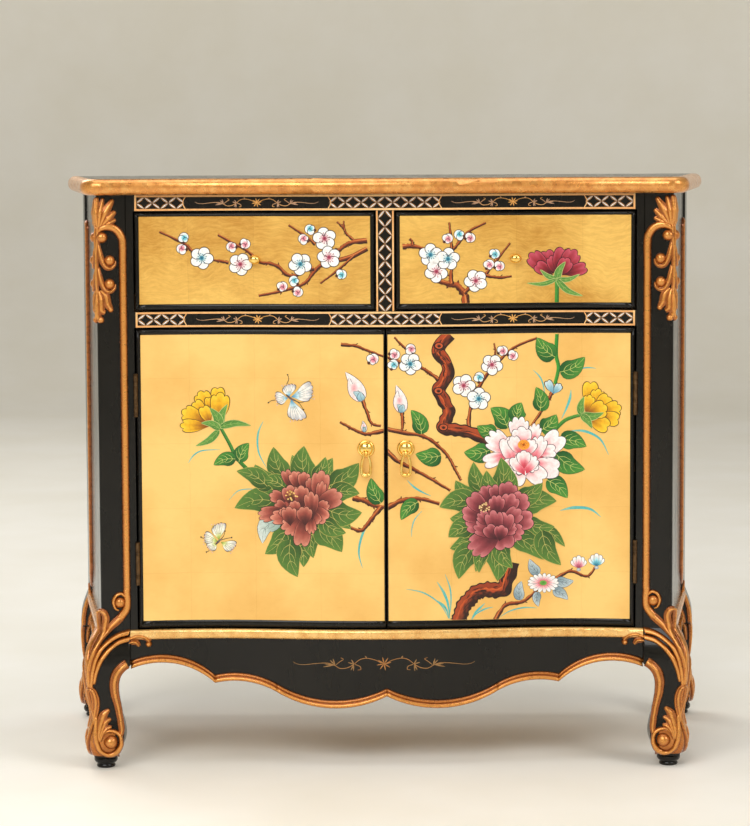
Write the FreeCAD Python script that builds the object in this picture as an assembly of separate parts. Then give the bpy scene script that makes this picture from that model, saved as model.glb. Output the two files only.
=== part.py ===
# A serpentine-front lacquered entryway cabinet: two drawers over two doors, on four cabriole legs.
# Millimetres. +Z is up, the front faces -Y, and the origin is on the floor under the middle of the cabinet.
import FreeCAD, Part
import math
import os

from FreeCAD import Vector

# Overall size.
HEIGHT = 850.0
DEPTH = 400.0
SIDE_SPLAY_DEG = 9.4

# The serpentine front: a swell in the middle, a hollow at each side, and wings that run out to the posts.
SWELL_DEPTH = 16.0
HOLLOW_X = 250.0
SWELL_HALF = 164.5

# Top board and its gilded edge.
TOP_THICK = 23.0
TOP_OVERHANG = 22.0
TOP_CORNER_R = 28.0
TOP_EDGE_W = 16.0
TOP_BACK_OVERHANG = 10.0

# Posts and legs.
POST_IN_X = 369.3
POST_FACE = 42.2
ARRIS_R = 5.0
CORNER_R = 3.0
REAR_POST_W = 48.0
REAR_POST_D = 48.0
LEG_TOP_Z = 200.5
PAD_H = 16.0
PAD_TOP_R = 17.0
PAD_FOOT_R = 13.5
PAD_TENON_R = 6.0
PAD_TENON_H = 14.0
TENON_PLAY = 0.05

# Front frame: its stiles, rails and the heights of the openings.
STILE_IN_X = 359.4
TOP_RAIL_H = 23.4
DRAWER_OPENING_H = 143.6
MIDDLE_RAIL_H = 23.0
CENTRE_STILE_HALF = 13.0
BOTTOM_RAIL_H = 14.0
FRONT_GAP = 2.5
MEETING_GAP = 2.4
HINGE_GAP = 3.0

# Case boards.
SIDE_THICK = 16.0
SIDE_INSET = 3.0
BACK_THICK = 8.0
BACK_INSET = 4.0
APRON_THICK = 20.0
BACK_RAIL_H = 40.0
BACK_RAIL_D = 20.0
DUST_THICK = 12.0
DIVIDER_HALF = 8.0
SHELF_THICK = 14.0
SHELF_SETBACK = 34.0
SHELF_PLAY = 1.0
BATTEN_H = 20.0
BATTEN_W = 14.0
BATTEN_END = 20.0

# Apron scallops: heights of the lower edge, and the places along the front where the curves meet.
APRON_END_Z = 144.0
ARCH_SAG = 17.5
CUSP_X = 249.0
CUSP_Z = 120.5
TURN_X = 160.0
TURN_Z = 108.5
TURN_SAG = 8.2
LOBE_SAG = 20.5
CENTRE_CUSP_Z = 103.0
SIDE_CUSP_SHARE = 0.34
SIDE_CUSP_Z = 128.0
SIDE_ARCH_SAG = 16.0
SIDE_LOBE_SAG = 14.0

# Gilded mouldings.
BEAD_H = 14.5
BEAD_PROUD = 7.0
BEAD_ROUND = 5.0
EDGE_H = 11.5
EDGE_PROUD = 4.0
STRIP_W = 10.0
STRIP_PROUD = 5.0
STRIP_FOOT_RISE = 37.5
STRIP_BEND_DROP = 62.0
STRIP_BEND_R = 21.0
CARVING_W = 25.0
CARVING_PROUD = 6.0
EYE_R = 7.0

# Doors, drawers and their gold-leaf panels.
FRONT_THICK = 18.0
PANEL_THICK = 3.0
PANEL_PROUD = 1.0
RIM_SIDE = 5.5
RIM_MEETING = 1.5
DOOR_RIM_TOP = 7.5
DOOR_RIM_FOOT = 10.0
DRAWER_RIM_TOP = 5.0
DRAWER_RIM_FOOT = 8.0
DRAWER_BACK_ROOM = 30.8
DRAWER_BOX_H = 112.0
DRAWER_SIDE = 11.0
DRAWER_BOTTOM = 6.0
DRAWER_SIDE_SETBACK = 9.0
SLIDE_PLAY = 0.3
GUIDE_W = 12.0
GUIDE_H = 24.0
STOP_W = 30.0
STOP_D = 14.0
STOP_H = 20.0

# Butt hinges.
HINGE_H = 62.0
HINGE_END = 94.0
KNUCKLE_R = 3.0
PIN_R = 1.5
PIN_PLAY = 0.05
LEAF_THICK = 1.2
LEAF_DEPTH = 14.0
OUTER_KNUCKLE = 16.0
KNUCKLE_PLAY = 0.3

# Door pulls and drawer knobs.
PULL_X = 28.5
PULL_RISE = 44.25
ROSETTE_R = 10.5
ROSETTE_H = 5.5
EYE_STEM_R = 3.2
EYE_STEM_OUT = 7.5
EYE_DROP = 6.0
AXLE_R = 1.1
AXLE_PLAY = 0.1
DROP_W = 16.0
DROP_LENGTH = 33.0
DROP_THICK = 3.2
DROP_BAR = 4.2
DROP_HEAD_R = 4.6
BOLT_R = 2.0
BOLT_PLAY = 0.2
NUT_R = 4.5
NUT_H = 3.0
KNOB_RISE = 2.7
KNOB_HALF_W = 8.5
KNOB_HALF_H = 6.5
KNOB_NECK = 9.0
KNOB_DEPTH = 7.0
KNOB_STEM_R = 3.0

# Magnetic catches at the head of the doors.
CATCH_X = 60.0
CATCH_W = 40.0
CATCH_H = 13.0
CATCH_D = 16.0
STRIKE_W = 30.0
STRIKE_H = 11.0
STRIKE_THICK = 1.0
CATCH_GAP = 0.3

# The legs' shape from the floor pad to the apron. Each station has its share of the leg's height and then, as
# shares of the post's face, how far the outer side stands out and how far the leg reaches in and back.
LEG_STATIONS = (
    (0.00, 0.290, 0.474, 0.711),
    (0.04, 0.360, 0.569, 0.782),
    (0.08, 0.420, 0.664, 0.829),
    (0.135, 0.440, 0.735, 0.853),
    (0.19, 0.405, 0.746, 0.829),
    (0.25, 0.340, 0.711, 0.782),
    (0.31, 0.284, 0.652, 0.711),
    (0.37, 0.308, 0.569, 0.640),
    (0.435, 0.355, 0.498, 0.592),
    (0.51, 0.415, 0.427, 0.545),
    (0.595, 0.462, 0.391, 0.533),
    (0.65, 0.474, 0.474, 0.592),
    (0.69, 0.474, 0.664, 0.735),
)
# Above the last station the inner faces stay flat for the aprons, and only the knee swells.
KNEE_STATIONS = (
    (0.73, 0.474),
    (0.785, 0.450),
    (0.86, 0.367),
    (0.93, 0.201),
    (1.00, 0.0),
)
# How far a front leg swells forwards, and a rear leg sideways, as shares of the sideways swell above.
FORWARD_SHARE = 0.7
REAR_SHARE = 0.6

OUT = "parts"
UP = Vector(0, 0, 1)
SPLAY = math.tan(math.radians(SIDE_SPLAY_DEG))
SPLAY_COS = math.cos(math.radians(SIDE_SPLAY_DEG))
SPLAY_SIN = math.sin(math.radians(SIDE_SPLAY_DEG))

# Radii of the serpentine, from its three driving sizes.
RADIUS_SUM = (HOLLOW_X ** 2 + SWELL_DEPTH ** 2) / (2 * SWELL_DEPTH)
SWELL_R = RADIUS_SUM * SWELL_HALF / HOLLOW_X
HOLLOW_R = RADIUS_SUM - SWELL_R


def front_shape(x, out=0.0):
    """How far the front lies behind the middle of its swell at x, for a curve moved out by so much."""
    x = abs(x)
    if x <= HOLLOW_X * (SWELL_R + out) / RADIUS_SUM:
        return SWELL_R - math.sqrt((SWELL_R + out) ** 2 - x ** 2)
    rise = math.sqrt((HOLLOW_R - out) ** 2 - (x - HOLLOW_X) ** 2)
    return SWELL_DEPTH - HOLLOW_R + rise


# The post's front face runs on from the serpentine along its tangent.
WING = math.asin((POST_IN_X - HOLLOW_X) / HOLLOW_R)
ALONG = Vector(math.cos(WING), -math.sin(WING), 0)
FACE_OUT = Vector(-math.sin(WING), -math.cos(WING), 0)
BACKWARD = Vector(SPLAY_SIN, SPLAY_COS, 0)
SIDE_OUT = Vector(SPLAY_COS, -SPLAY_SIN, 0)


def meet(point_a, along_a, point_b, along_b):
    """Where two lines in plan cross."""
    cross = along_a.x * along_b.y - along_a.y * along_b.x
    gap = point_b - point_a
    share = (gap.x * along_b.y - gap.y * along_b.x) / cross
    return point_a + along_a * share


def post_corner(front):
    """The post's outer corner in plan, with the middle of the swell at y = front."""
    start = Vector(POST_IN_X, front + front_shape(POST_IN_X), 0)
    return start + ALONG * POST_FACE


def moved_corner(corner, forward, sideways):
    """The corner of the two post faces when each is moved outwards by so much."""
    return meet(corner + FACE_OUT * forward, ALONG, corner + SIDE_OUT * sideways, BACKWARD)


# The top's rounded corner may reach further forward than the swell, so it sets where the front lies.
CORNER_IN = TOP_OVERHANG - TOP_CORNER_R
TOP_REACH = max(TOP_OVERHANG, TOP_CORNER_R - moved_corner(post_corner(0.0), CORNER_IN, CORNER_IN).y)
FRONT_Y = -DEPTH / 2 + TOP_REACH
TOP_BACK_Y = DEPTH / 2
CASE_BACK_Y = TOP_BACK_Y - TOP_BACK_OVERHANG
ARRIS = post_corner(FRONT_Y)
POST_WIDTH = ARRIS.x - POST_IN_X
POST_DEPTH = POST_FACE
POST_BACK_Y = ARRIS.y + POST_DEPTH
REAR_POST_Y = CASE_BACK_Y - REAR_POST_D
TOP_Z = HEIGHT - TOP_THICK
TOP_RAIL_Z = TOP_Z - TOP_RAIL_H
MIDDLE_RAIL_TOP = TOP_RAIL_Z - DRAWER_OPENING_H
MIDDLE_RAIL_Z = MIDDLE_RAIL_TOP - MIDDLE_RAIL_H
SHELF_Z = (LEG_TOP_Z + MIDDLE_RAIL_Z) / 2
STRIP_FOOT_Z = LEG_TOP_Z + STRIP_FOOT_RISE
STRIP_BEND_Z = TOP_Z - STRIP_BEND_DROP
BOTTOM_RAIL_Z = LEG_TOP_Z - BOTTOM_RAIL_H
BACK_FACE_Y = CASE_BACK_Y - BACK_INSET - BACK_THICK
DOOR_FOOT_Z = LEG_TOP_Z + FRONT_GAP
DOOR_HEAD_Z = MIDDLE_RAIL_Z - FRONT_GAP
DRAWER_FOOT_Z = MIDDLE_RAIL_TOP + FRONT_GAP
DRAWER_HEAD_Z = TOP_RAIL_Z - FRONT_GAP
FRONT_BACK_Y = FRONT_Y + SWELL_DEPTH + FRONT_THICK
DRAWER_BOX_D = BACK_FACE_Y - DRAWER_BACK_ROOM - FRONT_BACK_Y
HINGE_Z = (DOOR_FOOT_Z + HINGE_END, DOOR_HEAD_Z - HINGE_END)
PULL_Z = (DOOR_FOOT_Z + DOOR_HEAD_Z) / 2 + PULL_RISE
KNOB_X = (CENTRE_STILE_HALF + STILE_IN_X) / 2
KNOB_Z = (DRAWER_FOOT_Z + DRAWER_HEAD_Z) / 2 + KNOB_RISE
HINGE_X = STILE_IN_X - HINGE_GAP / 2
DOOR_OUT_X = STILE_IN_X - HINGE_GAP


def front_y(x, out=0.0):
    """The front surface's y at x, for a curve moved out by so much."""
    return FRONT_Y + front_shape(x, out)


def side_x(y, inset=0.0):
    """The case's side at depth y, moved inwards by so much."""
    return ARRIS.x + (y - ARRIS.y) * SPLAY - inset / SPLAY_COS


HINGE_Y = front_y(HINGE_X) - KNUCKLE_R - KNUCKLE_PLAY
REAR_X = side_x(CASE_BACK_Y)
REAR_IN_X = REAR_X - REAR_POST_W


def polygon(points, z):
    """A closed wire through points in plan, at height z."""
    corners = [Vector(p[0], p[1], z) for p in points]
    return Part.makePolygon(corners + corners[:1])


def prism(points, z_low, z_high):
    """A straight-sided block on an outline in plan."""
    return Part.Face(polygon(points, z_low)).extrude(UP * (z_high - z_low))


def box(x_low, x_high, y_low, y_high, z_low, z_high):
    return Part.makeBox(x_high - x_low, y_high - y_low, z_high - z_low, Vector(x_low, y_low, z_low))


def mirrored(shape):
    """The same piece on the cabinet's other side."""
    return shape.mirror(Vector(0, 0, 0), Vector(1, 0, 0))


def pair(shape):
    """A piece and its twin on the cabinet's other side."""
    return Part.makeCompound(shape.Solids + mirrored(shape).Solids)


def both_sides(points):
    """A full outline in plan from its right half, which runs from front to back."""
    return list(points) + [(-x, y) for x, y in reversed(points)]


def rounded_wire(points, radii, z):
    """A closed wire in plan whose corners are rounded, each by its own radius."""
    count = len(points)
    starts, arcs = [], []
    for i in range(count):
        corner = Vector(points[i][0], points[i][1], z)
        before = Vector(points[i - 1][0], points[i - 1][1], z) - corner
        after = Vector(points[(i + 1) % count][0], points[(i + 1) % count][1], z) - corner
        before.normalize()
        after.normalize()
        half = before.getAngle(after) / 2
        run = radii[i] / math.tan(half)
        middle = before + after
        middle.normalize()
        nearest = corner + middle * (radii[i] / math.sin(half) - radii[i])
        arcs.append(Part.Arc(corner + before * run, nearest, corner + after * run).toShape())
        starts.append((corner + before * run, corner + after * run))
    edges = []
    for i in range(count):
        edges.append(arcs[i])
        edges.append(Part.LineSegment(starts[i][1], starts[(i + 1) % count][0]).toShape())
    return Part.Wire(edges)


def front_edges(x_low, x_high, out, z):
    """The serpentine between two places, moved out by so much, as tangent arcs."""
    turn = HOLLOW_X * (SWELL_R + out) / RADIUS_SUM
    stops = [x_low] + [x for x in (-turn, turn) if x_low < x < x_high] + [x_high]
    edges = []
    for a, b in zip(stops, stops[1:]):
        spots = [Vector(x, front_y(x, out), z) for x in (a, (a + b) / 2, b)]
        edges.append(Part.Arc(*spots).toShape())
    return edges


def closed_face(edges, points):
    """A face from a run of edges and the straight lines that close it through points."""
    first = edges[0].firstVertex(True).Point
    spots = [edges[-1].lastVertex(True).Point] + list(points) + [first]
    lines = [Part.LineSegment(a, b).toShape() for a, b in zip(spots, spots[1:])]
    return Part.Face(Part.Wire(edges + lines))


def front_block(x_low, x_high, out, y_back, z_low, z_high):
    """A piece with the serpentine for its front and a flat back."""
    ends = [Vector(x_high, y_back, z_low), Vector(x_low, y_back, z_low)]
    face = closed_face(front_edges(x_low, x_high, out, z_low), ends)
    return face.extrude(UP * (z_high - z_low))


def front_band(x_low, x_high, out, inward, z_low, z_high):
    """A piece of even thickness that follows the serpentine."""
    deep = front_block(x_low, x_high, out, CASE_BACK_Y, z_low, z_high)
    return deep.cut(front_block(x_low, x_high, -inward, CASE_BACK_Y, z_low, z_high))


def sag_arc(start, end, sag):
    """An arc from start to end in the XZ plane that bulges up by sag, or down where it is negative."""
    chord = end - start
    rise = Vector(-chord.z, 0, chord.x)
    rise.normalize()
    if rise.z < 0:
        rise = rise * -1
    return Part.Arc(start, (start + end) * 0.5 + rise * sag, end).toShape()


# Posts, legs and feet.


def post_outline(bulge, inset, depth):
    """A front leg's four corners in plan: outer, front inner, back inner and back outer."""
    corner = moved_corner(ARRIS, bulge * FORWARD_SHARE, bulge)
    inner_x = ARRIS.x - inset
    back_y = ARRIS.y + depth
    inner = meet(corner, ALONG, Vector(inner_x, 0, 0), Vector(0, 1, 0))
    outer = meet(corner, BACKWARD, Vector(0, back_y, 0), Vector(1, 0, 0))
    return [(corner.x, corner.y), (inner.x, inner.y), (inner_x, back_y), (outer.x, outer.y)]


def rear_outline(bulge, inset, depth):
    """A rear leg's four corners in plan: back outer, front outer, front inner and back inner."""
    face_y = CASE_BACK_Y - depth * REAR_POST_D / POST_DEPTH
    inner_x = REAR_X - inset * REAR_POST_W / POST_WIDTH
    swell = bulge * REAR_SHARE
    outer_x = side_x(face_y) + swell
    return [(REAR_X + swell, CASE_BACK_Y), (outer_x, face_y), (inner_x, face_y), (inner_x, CASE_BACK_Y)]


def leg_height(share):
    return PAD_H + share * (LEG_TOP_Z - PAD_H)


def leg_sizes():
    """The leg's stations in millimetres: share of its height, swell, reach in and reach back."""
    return [(share, swell * POST_FACE, inset * POST_FACE, depth * POST_FACE)
            for share, swell, inset, depth in LEG_STATIONS]


def post(outline, radii):
    """A post and its cabriole leg, sawn from one piece of wood."""
    knee = [(share, swell * POST_FACE, POST_WIDTH, POST_DEPTH) for share, swell in KNEE_STATIONS]
    straight = rounded_wire(outline(*knee[-1][1:]), radii, LEG_TOP_Z)
    solid = Part.Face(straight).extrude(UP * (TOP_Z - LEG_TOP_Z))
    for stations in (knee, leg_sizes() + knee[:1]):
        wires = [rounded_wire(outline(*sizes), radii, leg_height(share)) for share, *sizes in stations]
        solid = solid.fuse(Part.makeLoft(wires, True, False, False))
    return solid.removeSplitter()


def centre_of(points):
    return (sum(p[0] for p in points) / len(points), sum(p[1] for p in points) / len(points))


def foot_places():
    """Where the four floor pads stand: front right, front left, rear right, rear left."""
    foot = leg_sizes()[0][1:]
    front = centre_of(post_outline(*foot))
    rear = centre_of(rear_outline(*foot))
    return [front, (-front[0], front[1]), rear, (-rear[0], rear[1])]


def tenon_hole(place):
    foot = Vector(place[0], place[1], PAD_H)
    return Part.makeCylinder(PAD_TENON_R + TENON_PLAY, PAD_TENON_H + SLIDE_PLAY, foot)


def front_post():
    solid = post(post_outline, (ARRIS_R, CORNER_R, CORNER_R, CORNER_R))
    return solid.cut(tenon_hole(foot_places()[0]))


def rear_post():
    return post(rear_outline, (CORNER_R,) * 4).cut(tenon_hole(foot_places()[2]))


def foot_pad(place):
    """A turned black pad under a leg, with its tenon up into the leg."""
    spot = Vector(place[0], place[1], 0)
    pad = Part.makeCone(PAD_FOOT_R, PAD_TOP_R, PAD_H, spot)
    tenon = Part.makeCylinder(PAD_TENON_R, PAD_TENON_H, spot + UP * PAD_H)
    return pad.fuse(tenon).removeSplitter()


# Top.


def top_outline(shrink, z):
    """The top's outline in plan, drawn in by so much at the front and sides."""
    out = TOP_OVERHANG - shrink
    corner = moved_corner(ARRIS, out, out)
    radius = TOP_CORNER_R - shrink
    half = ALONG.getAngle(BACKWARD) / 2
    run = radius * math.tan(half)
    run_in = corner - ALONG * run
    run_out = corner + BACKWARD * run
    bisector = BACKWARD - ALONG
    bisector.normalize()
    nearest = corner + bisector * (radius / math.cos(half) - radius)
    join = Vector(POST_IN_X, front_y(POST_IN_X), 0) + FACE_OUT * out
    side_back = meet(corner, BACKWARD, Vector(0, TOP_BACK_Y, 0), Vector(1, 0, 0))

    def at(point, side):
        return Vector(side * point.x, point.y, z)

    edges = front_edges(-join.x, join.x, out, z)
    edges.append(Part.LineSegment(at(join, 1), at(run_in, 1)).toShape())
    edges.append(Part.Arc(at(run_in, 1), at(nearest, 1), at(run_out, 1)).toShape())
    edges.append(Part.LineSegment(at(run_out, 1), at(side_back, 1)).toShape())
    edges.append(Part.LineSegment(at(side_back, 1), at(side_back, -1)).toShape())
    edges.append(Part.LineSegment(at(side_back, -1), at(run_out, -1)).toShape())
    edges.append(Part.Arc(at(run_out, -1), at(nearest, -1), at(run_in, -1)).toShape())
    edges.append(Part.LineSegment(at(run_in, -1), at(join, -1)).toShape())
    return Part.Wire(edges)


def top_board():
    return Part.Face(top_outline(TOP_EDGE_W, TOP_Z)).extrude(UP * TOP_THICK)


def top_edge():
    """The gilded bull-nosed lipping round the front and the sides of the top."""
    slab = Part.Face(top_outline(0.0, TOP_Z)).extrude(UP * TOP_THICK)
    nose = TOP_THICK / 2 - 0.5
    lips = []
    for edge in slab.Edges:
        flat = abs(edge.BoundBox.ZMax - edge.BoundBox.ZMin) < 0.1
        at_back = edge.BoundBox.YMin > TOP_BACK_Y - 0.1
        if flat and not at_back:
            lips.append(edge)
    return slab.makeFillet(nose, lips).cut(top_board())


# Front frame.


def frame_stile():
    """The narrow hinge stile between a post and the openings."""
    return front_block(STILE_IN_X, POST_IN_X, 0.0, POST_BACK_Y, LEG_TOP_Z, TOP_Z)


def frame_rail(z_low, z_high):
    return front_block(-STILE_IN_X, STILE_IN_X, 0.0, POST_BACK_Y, z_low, z_high)


def centre_stile():
    half = CENTRE_STILE_HALF
    return front_block(-half, half, 0.0, POST_BACK_Y, MIDDLE_RAIL_TOP, TOP_RAIL_Z)


def bottom_rail():
    return front_block(-POST_IN_X, POST_IN_X, 0.0, POST_BACK_Y, BOTTOM_RAIL_Z, LEG_TOP_Z)


# Aprons and their gilded edges.


def front_scallop(lift):
    """The apron's lower edge from left to right, lifted by so much."""
    end = Vector(POST_IN_X, 0, APRON_END_Z + lift)
    cusp = Vector(CUSP_X, 0, CUSP_Z + lift)
    turn = Vector(TURN_X, 0, TURN_Z + lift)
    middle = Vector(0, 0, CENTRE_CUSP_Z + lift)
    spots = [end, cusp, turn, middle]
    sags = [ARCH_SAG, TURN_SAG, -LOBE_SAG]
    right = list(zip(spots, spots[1:], sags))
    flip = [(Vector(-a.x, 0, a.z), Vector(-b.x, 0, b.z), s) for a, b, s in right]
    back = [(b, a, s) for a, b, s in reversed(right)]
    return [sag_arc(a, b, s) for a, b, s in flip + back]


def side_scallop(lift, start, end):
    """A side apron's lower edge from front to back as distances along it, lifted by so much."""
    step = (end - start) * SIDE_CUSP_SHARE
    spots = [
        Vector(start, 0, APRON_END_Z + lift),
        Vector(start + step, 0, SIDE_CUSP_Z + lift),
        Vector(end - step, 0, SIDE_CUSP_Z + lift),
        Vector(end, 0, APRON_END_Z + lift),
    ]
    sags = [SIDE_ARCH_SAG, -SIDE_LOBE_SAG, SIDE_ARCH_SAG]
    return [sag_arc(a, b, s) for a, b, s in zip(spots, spots[1:], sags)]


def scallop_board(edges, top_z):
    """The area from a scalloped edge up to a level top."""
    start, end = edges[0].firstVertex(True).Point, edges[-1].lastVertex(True).Point
    return closed_face(edges, [Vector(end.x, 0, top_z), Vector(start.x, 0, top_z)])


def scallop_band(low, high):
    """The area between a scalloped edge and the same edge lifted."""
    flipped = []
    for edge in reversed(high):
        mid = edge.valueAt((edge.FirstParameter + edge.LastParameter) / 2)
        flipped.append(Part.Arc(edge.lastVertex(True).Point, mid, edge.firstVertex(True).Point).toShape())
    start, end = low[0].firstVertex(True).Point, low[-1].lastVertex(True).Point
    up = Part.LineSegment(end, flipped[0].firstVertex(True).Point).toShape()
    down = Part.LineSegment(flipped[-1].lastVertex(True).Point, start).toShape()
    return Part.Face(Part.Wire(low + [up] + flipped + [down]))


def through_front(face):
    """A front elevation pushed right through the front of the cabinet."""
    face.translate(Vector(0, -DEPTH, 0))
    return face.extrude(Vector(0, DEPTH, 0))


def front_apron():
    board = front_band(-POST_IN_X, POST_IN_X, 0.0, APRON_THICK, 0.0, BOTTOM_RAIL_Z)
    return board.common(through_front(scallop_board(front_scallop(0.0), BOTTOM_RAIL_Z)))


def front_apron_edge():
    lip = front_band(-POST_IN_X, POST_IN_X, EDGE_PROUD, 0.0, 0.0, BOTTOM_RAIL_Z)
    return lip.common(through_front(scallop_band(front_scallop(0.0), front_scallop(EDGE_H))))


def front_bead():
    """The gilded half-round bead between the doors and the apron."""
    head = LEG_TOP_Z
    bead = front_band(-POST_IN_X, POST_IN_X, BEAD_PROUD, 0.0, head - BEAD_H, head)
    nose = []
    for edge in bead.Edges:
        level = abs(edge.BoundBox.ZMax - edge.BoundBox.ZMin) < 0.1
        middle = edge.valueAt((edge.FirstParameter + edge.LastParameter) / 2)
        outer = middle.y < front_y(middle.x, BEAD_PROUD) + 0.5
        if level and outer and edge.Length > BEAD_PROUD * 2:
            nose.append(edge)
    return bead.makeFillet(BEAD_ROUND, nose)


def side_slab(outer_inset, inner_inset, z_low, z_high):
    """A straight piece along a side, between the front post and the rear post."""
    ends = (POST_BACK_Y, REAR_POST_Y)
    outline = [(side_x(ends[0], outer_inset), ends[0]), (side_x(ends[1], outer_inset), ends[1])]
    outline += [(side_x(ends[1], inner_inset), ends[1]), (side_x(ends[0], inner_inset), ends[0])]
    return prism(outline, z_low, z_high)


def through_side(face):
    """A side elevation, drawn with depth for its X, pushed right through the side of the cabinet."""
    face.rotate(Vector(0, 0, 0), UP, 90)
    return face.extrude(Vector(REAR_X + DEPTH, 0, 0))


def side_apron():
    board = side_slab(SIDE_INSET, SIDE_INSET + SIDE_THICK, 0.0, BOTTOM_RAIL_Z)
    edges = side_scallop(0.0, POST_BACK_Y, REAR_POST_Y)
    return board.common(through_side(scallop_board(edges, BOTTOM_RAIL_Z)))


def side_apron_edge():
    lip = side_slab(SIDE_INSET - EDGE_PROUD, SIDE_INSET, 0.0, BOTTOM_RAIL_Z)
    low = side_scallop(0.0, POST_BACK_Y, REAR_POST_Y)
    high = side_scallop(EDGE_H, POST_BACK_Y, REAR_POST_Y)
    return lip.common(through_side(scallop_band(low, high)))


def side_bead():
    bead = side_slab(SIDE_INSET - BEAD_PROUD, SIDE_INSET, LEG_TOP_Z - BEAD_H, LEG_TOP_Z)
    nose = []
    for edge in bead.Edges:
        level = abs(edge.BoundBox.ZMax - edge.BoundBox.ZMin) < 0.1
        middle = edge.valueAt((edge.FirstParameter + edge.LastParameter) / 2)
        if level and edge.Length > DEPTH / 4 and middle.x > side_x(middle.y):
            nose.append(edge)
    return bead.makeFillet(BEAD_ROUND, nose)


# Gilded strips and carvings on the front posts and the side panels.


def laid_on(corner, along, outward, thick, pieces):
    """Flat shapes drawn with distance from an upright corner for X, laid on the face beside it."""
    place = FreeCAD.Matrix()
    place.A11, place.A12, place.A13, place.A14 = along.x, outward.x, 0.0, corner.x
    place.A21, place.A22, place.A23, place.A24 = along.y, outward.y, 0.0, corner.y
    place.A31, place.A32, place.A33, place.A34 = 0.0, 0.0, 1.0, 0.0
    solid = None
    for face in pieces:
        piece = face.extrude(Vector(0, thick, 0))
        solid = piece if solid is None else solid.fuse(piece)
    return solid.removeSplitter().transformGeometry(place)


def flat(points):
    """A flat shape in elevation through (x, z) points."""
    corners = [Vector(x, 0, z) for x, z in points]
    return Part.Face(Part.makePolygon(corners + corners[:1]))


def disc(x, z, radius):
    circle = Part.Circle(Vector(x, 0, z), Vector(0, -1, 0), radius)
    return Part.Face(Part.Wire(circle.toShape()))


def strip_shape():
    """The upright strip with its quarter bend at the head, running in to the first scroll eye."""
    outer, inner = POST_FACE, POST_FACE - STRIP_W
    centre_x = outer - STRIP_BEND_R
    inner_r = STRIP_BEND_R - STRIP_W
    z = STRIP_BEND_Z
    slant = math.sqrt(0.5)
    spots = {
        "foot_out": Vector(outer, 0, STRIP_FOOT_Z),
        "bend_out": Vector(outer, 0, z),
        "head_out": Vector(centre_x, 0, z + STRIP_BEND_R),
        "head_in": Vector(centre_x, 0, z + inner_r),
        "bend_in": Vector(inner, 0, z),
        "foot_in": Vector(inner, 0, STRIP_FOOT_Z),
    }
    mid_out = Vector(centre_x + STRIP_BEND_R * slant, 0, z + STRIP_BEND_R * slant)
    mid_in = Vector(centre_x + inner_r * slant, 0, z + inner_r * slant)
    edges = [
        Part.LineSegment(spots["foot_out"], spots["bend_out"]).toShape(),
        Part.Arc(spots["bend_out"], mid_out, spots["head_out"]).toShape(),
        Part.LineSegment(spots["head_out"], spots["head_in"]).toShape(),
        Part.Arc(spots["head_in"], mid_in, spots["bend_in"]).toShape(),
        Part.LineSegment(spots["bend_in"], spots["foot_in"]).toShape(),
        Part.LineSegment(spots["foot_in"], spots["foot_out"]).toShape(),
    ]
    return Part.Face(Part.Wire(edges))


def carving_shapes():
    """The carved drop at the head of a post: a leaf fan, a stem with scroll eyes, and a hanging leaf."""
    near = ARRIS_R * 0.4

    def outline(z, rows):
        return flat([(near + CARVING_W * x, z + CARVING_W * rise) for x, rise in rows])

    fan = [
        (0.0, -0.04), (0.24, -0.24), (0.56, -0.64), (0.84, -0.28), (0.84, -0.8), (0.92, -1.08),
        (0.76, -1.2), (0.92, -1.48), (0.72, -1.62), (0.28, -1.88), (0.0, -1.96),
    ]
    stem = [(0.0, 0.6), (0.24, 0.44), (0.2, -0.8), (0.2, -2.4), (0.28, -3.04), (0.0, -3.12)]
    hook_one = [(0.12, -0.24), (0.24, -0.24), (0.4, -1.12), (0.24, -1.2)]
    hook_two = [(0.12, -1.6), (0.24, -1.6), (0.4, -2.52), (0.24, -2.64)]
    hanging = [
        (0.0, -3.04), (0.48, -2.96), (0.72, -3.76), (0.6, -4.12), (0.36, -3.92), (0.36, -4.64),
        (0.16, -4.88), (0.0, -4.48),
    ]
    shapes = [outline(TOP_Z, fan)]
    shapes += [outline(STRIP_BEND_Z, rows) for rows in (stem, hook_one, hook_two, hanging)]
    for out, drop in ((1, -0.08), (2, 1.24), (2, 2.64)):
        shapes.append(disc(near + EYE_R * out, STRIP_BEND_Z - CARVING_W * drop, EYE_R))
    return shapes


def post_strips():
    """The strip on the front face of a post, and its fellow on the side panel, facing the rear post."""
    front = laid_on(ARRIS, ALONG * -1, FACE_OUT, STRIP_PROUD, [strip_shape()])
    panel_end = Vector(side_x(REAR_POST_Y, SIDE_INSET), REAR_POST_Y, 0)
    side = laid_on(panel_end, BACKWARD * -1, SIDE_OUT, STRIP_PROUD, [strip_shape()])
    return Part.makeCompound([front, side])


def post_carving():
    """The carved drop's two halves, one on each side of the post's corner."""
    front = laid_on(ARRIS, ALONG * -1, FACE_OUT, CARVING_PROUD, carving_shapes())
    side = laid_on(ARRIS, BACKWARD, SIDE_OUT, CARVING_PROUD, carving_shapes())
    return Part.makeCompound([front, side])


# Case boards.


def board_outline(front, play=0.0):
    """The inside of the case in plan from y = front to the back panel, clear of the rear posts."""
    inset = SIDE_INSET + SIDE_THICK + play
    half = [
        (side_x(front, inset), front),
        (side_x(REAR_POST_Y - play, inset), REAR_POST_Y - play),
        (REAR_IN_X - play, REAR_POST_Y - play),
        (REAR_IN_X - play, BACK_FACE_Y - play),
    ]
    return both_sides(half)


def bottom_board():
    return prism(board_outline(POST_BACK_Y), BOTTOM_RAIL_Z, LEG_TOP_Z)


def dust_board():
    return prism(board_outline(POST_BACK_Y), MIDDLE_RAIL_TOP - DUST_THICK, MIDDLE_RAIL_TOP)


def shelf():
    return prism(board_outline(POST_BACK_Y + SHELF_SETBACK, SHELF_PLAY), SHELF_Z, SHELF_Z + SHELF_THICK)


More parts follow.
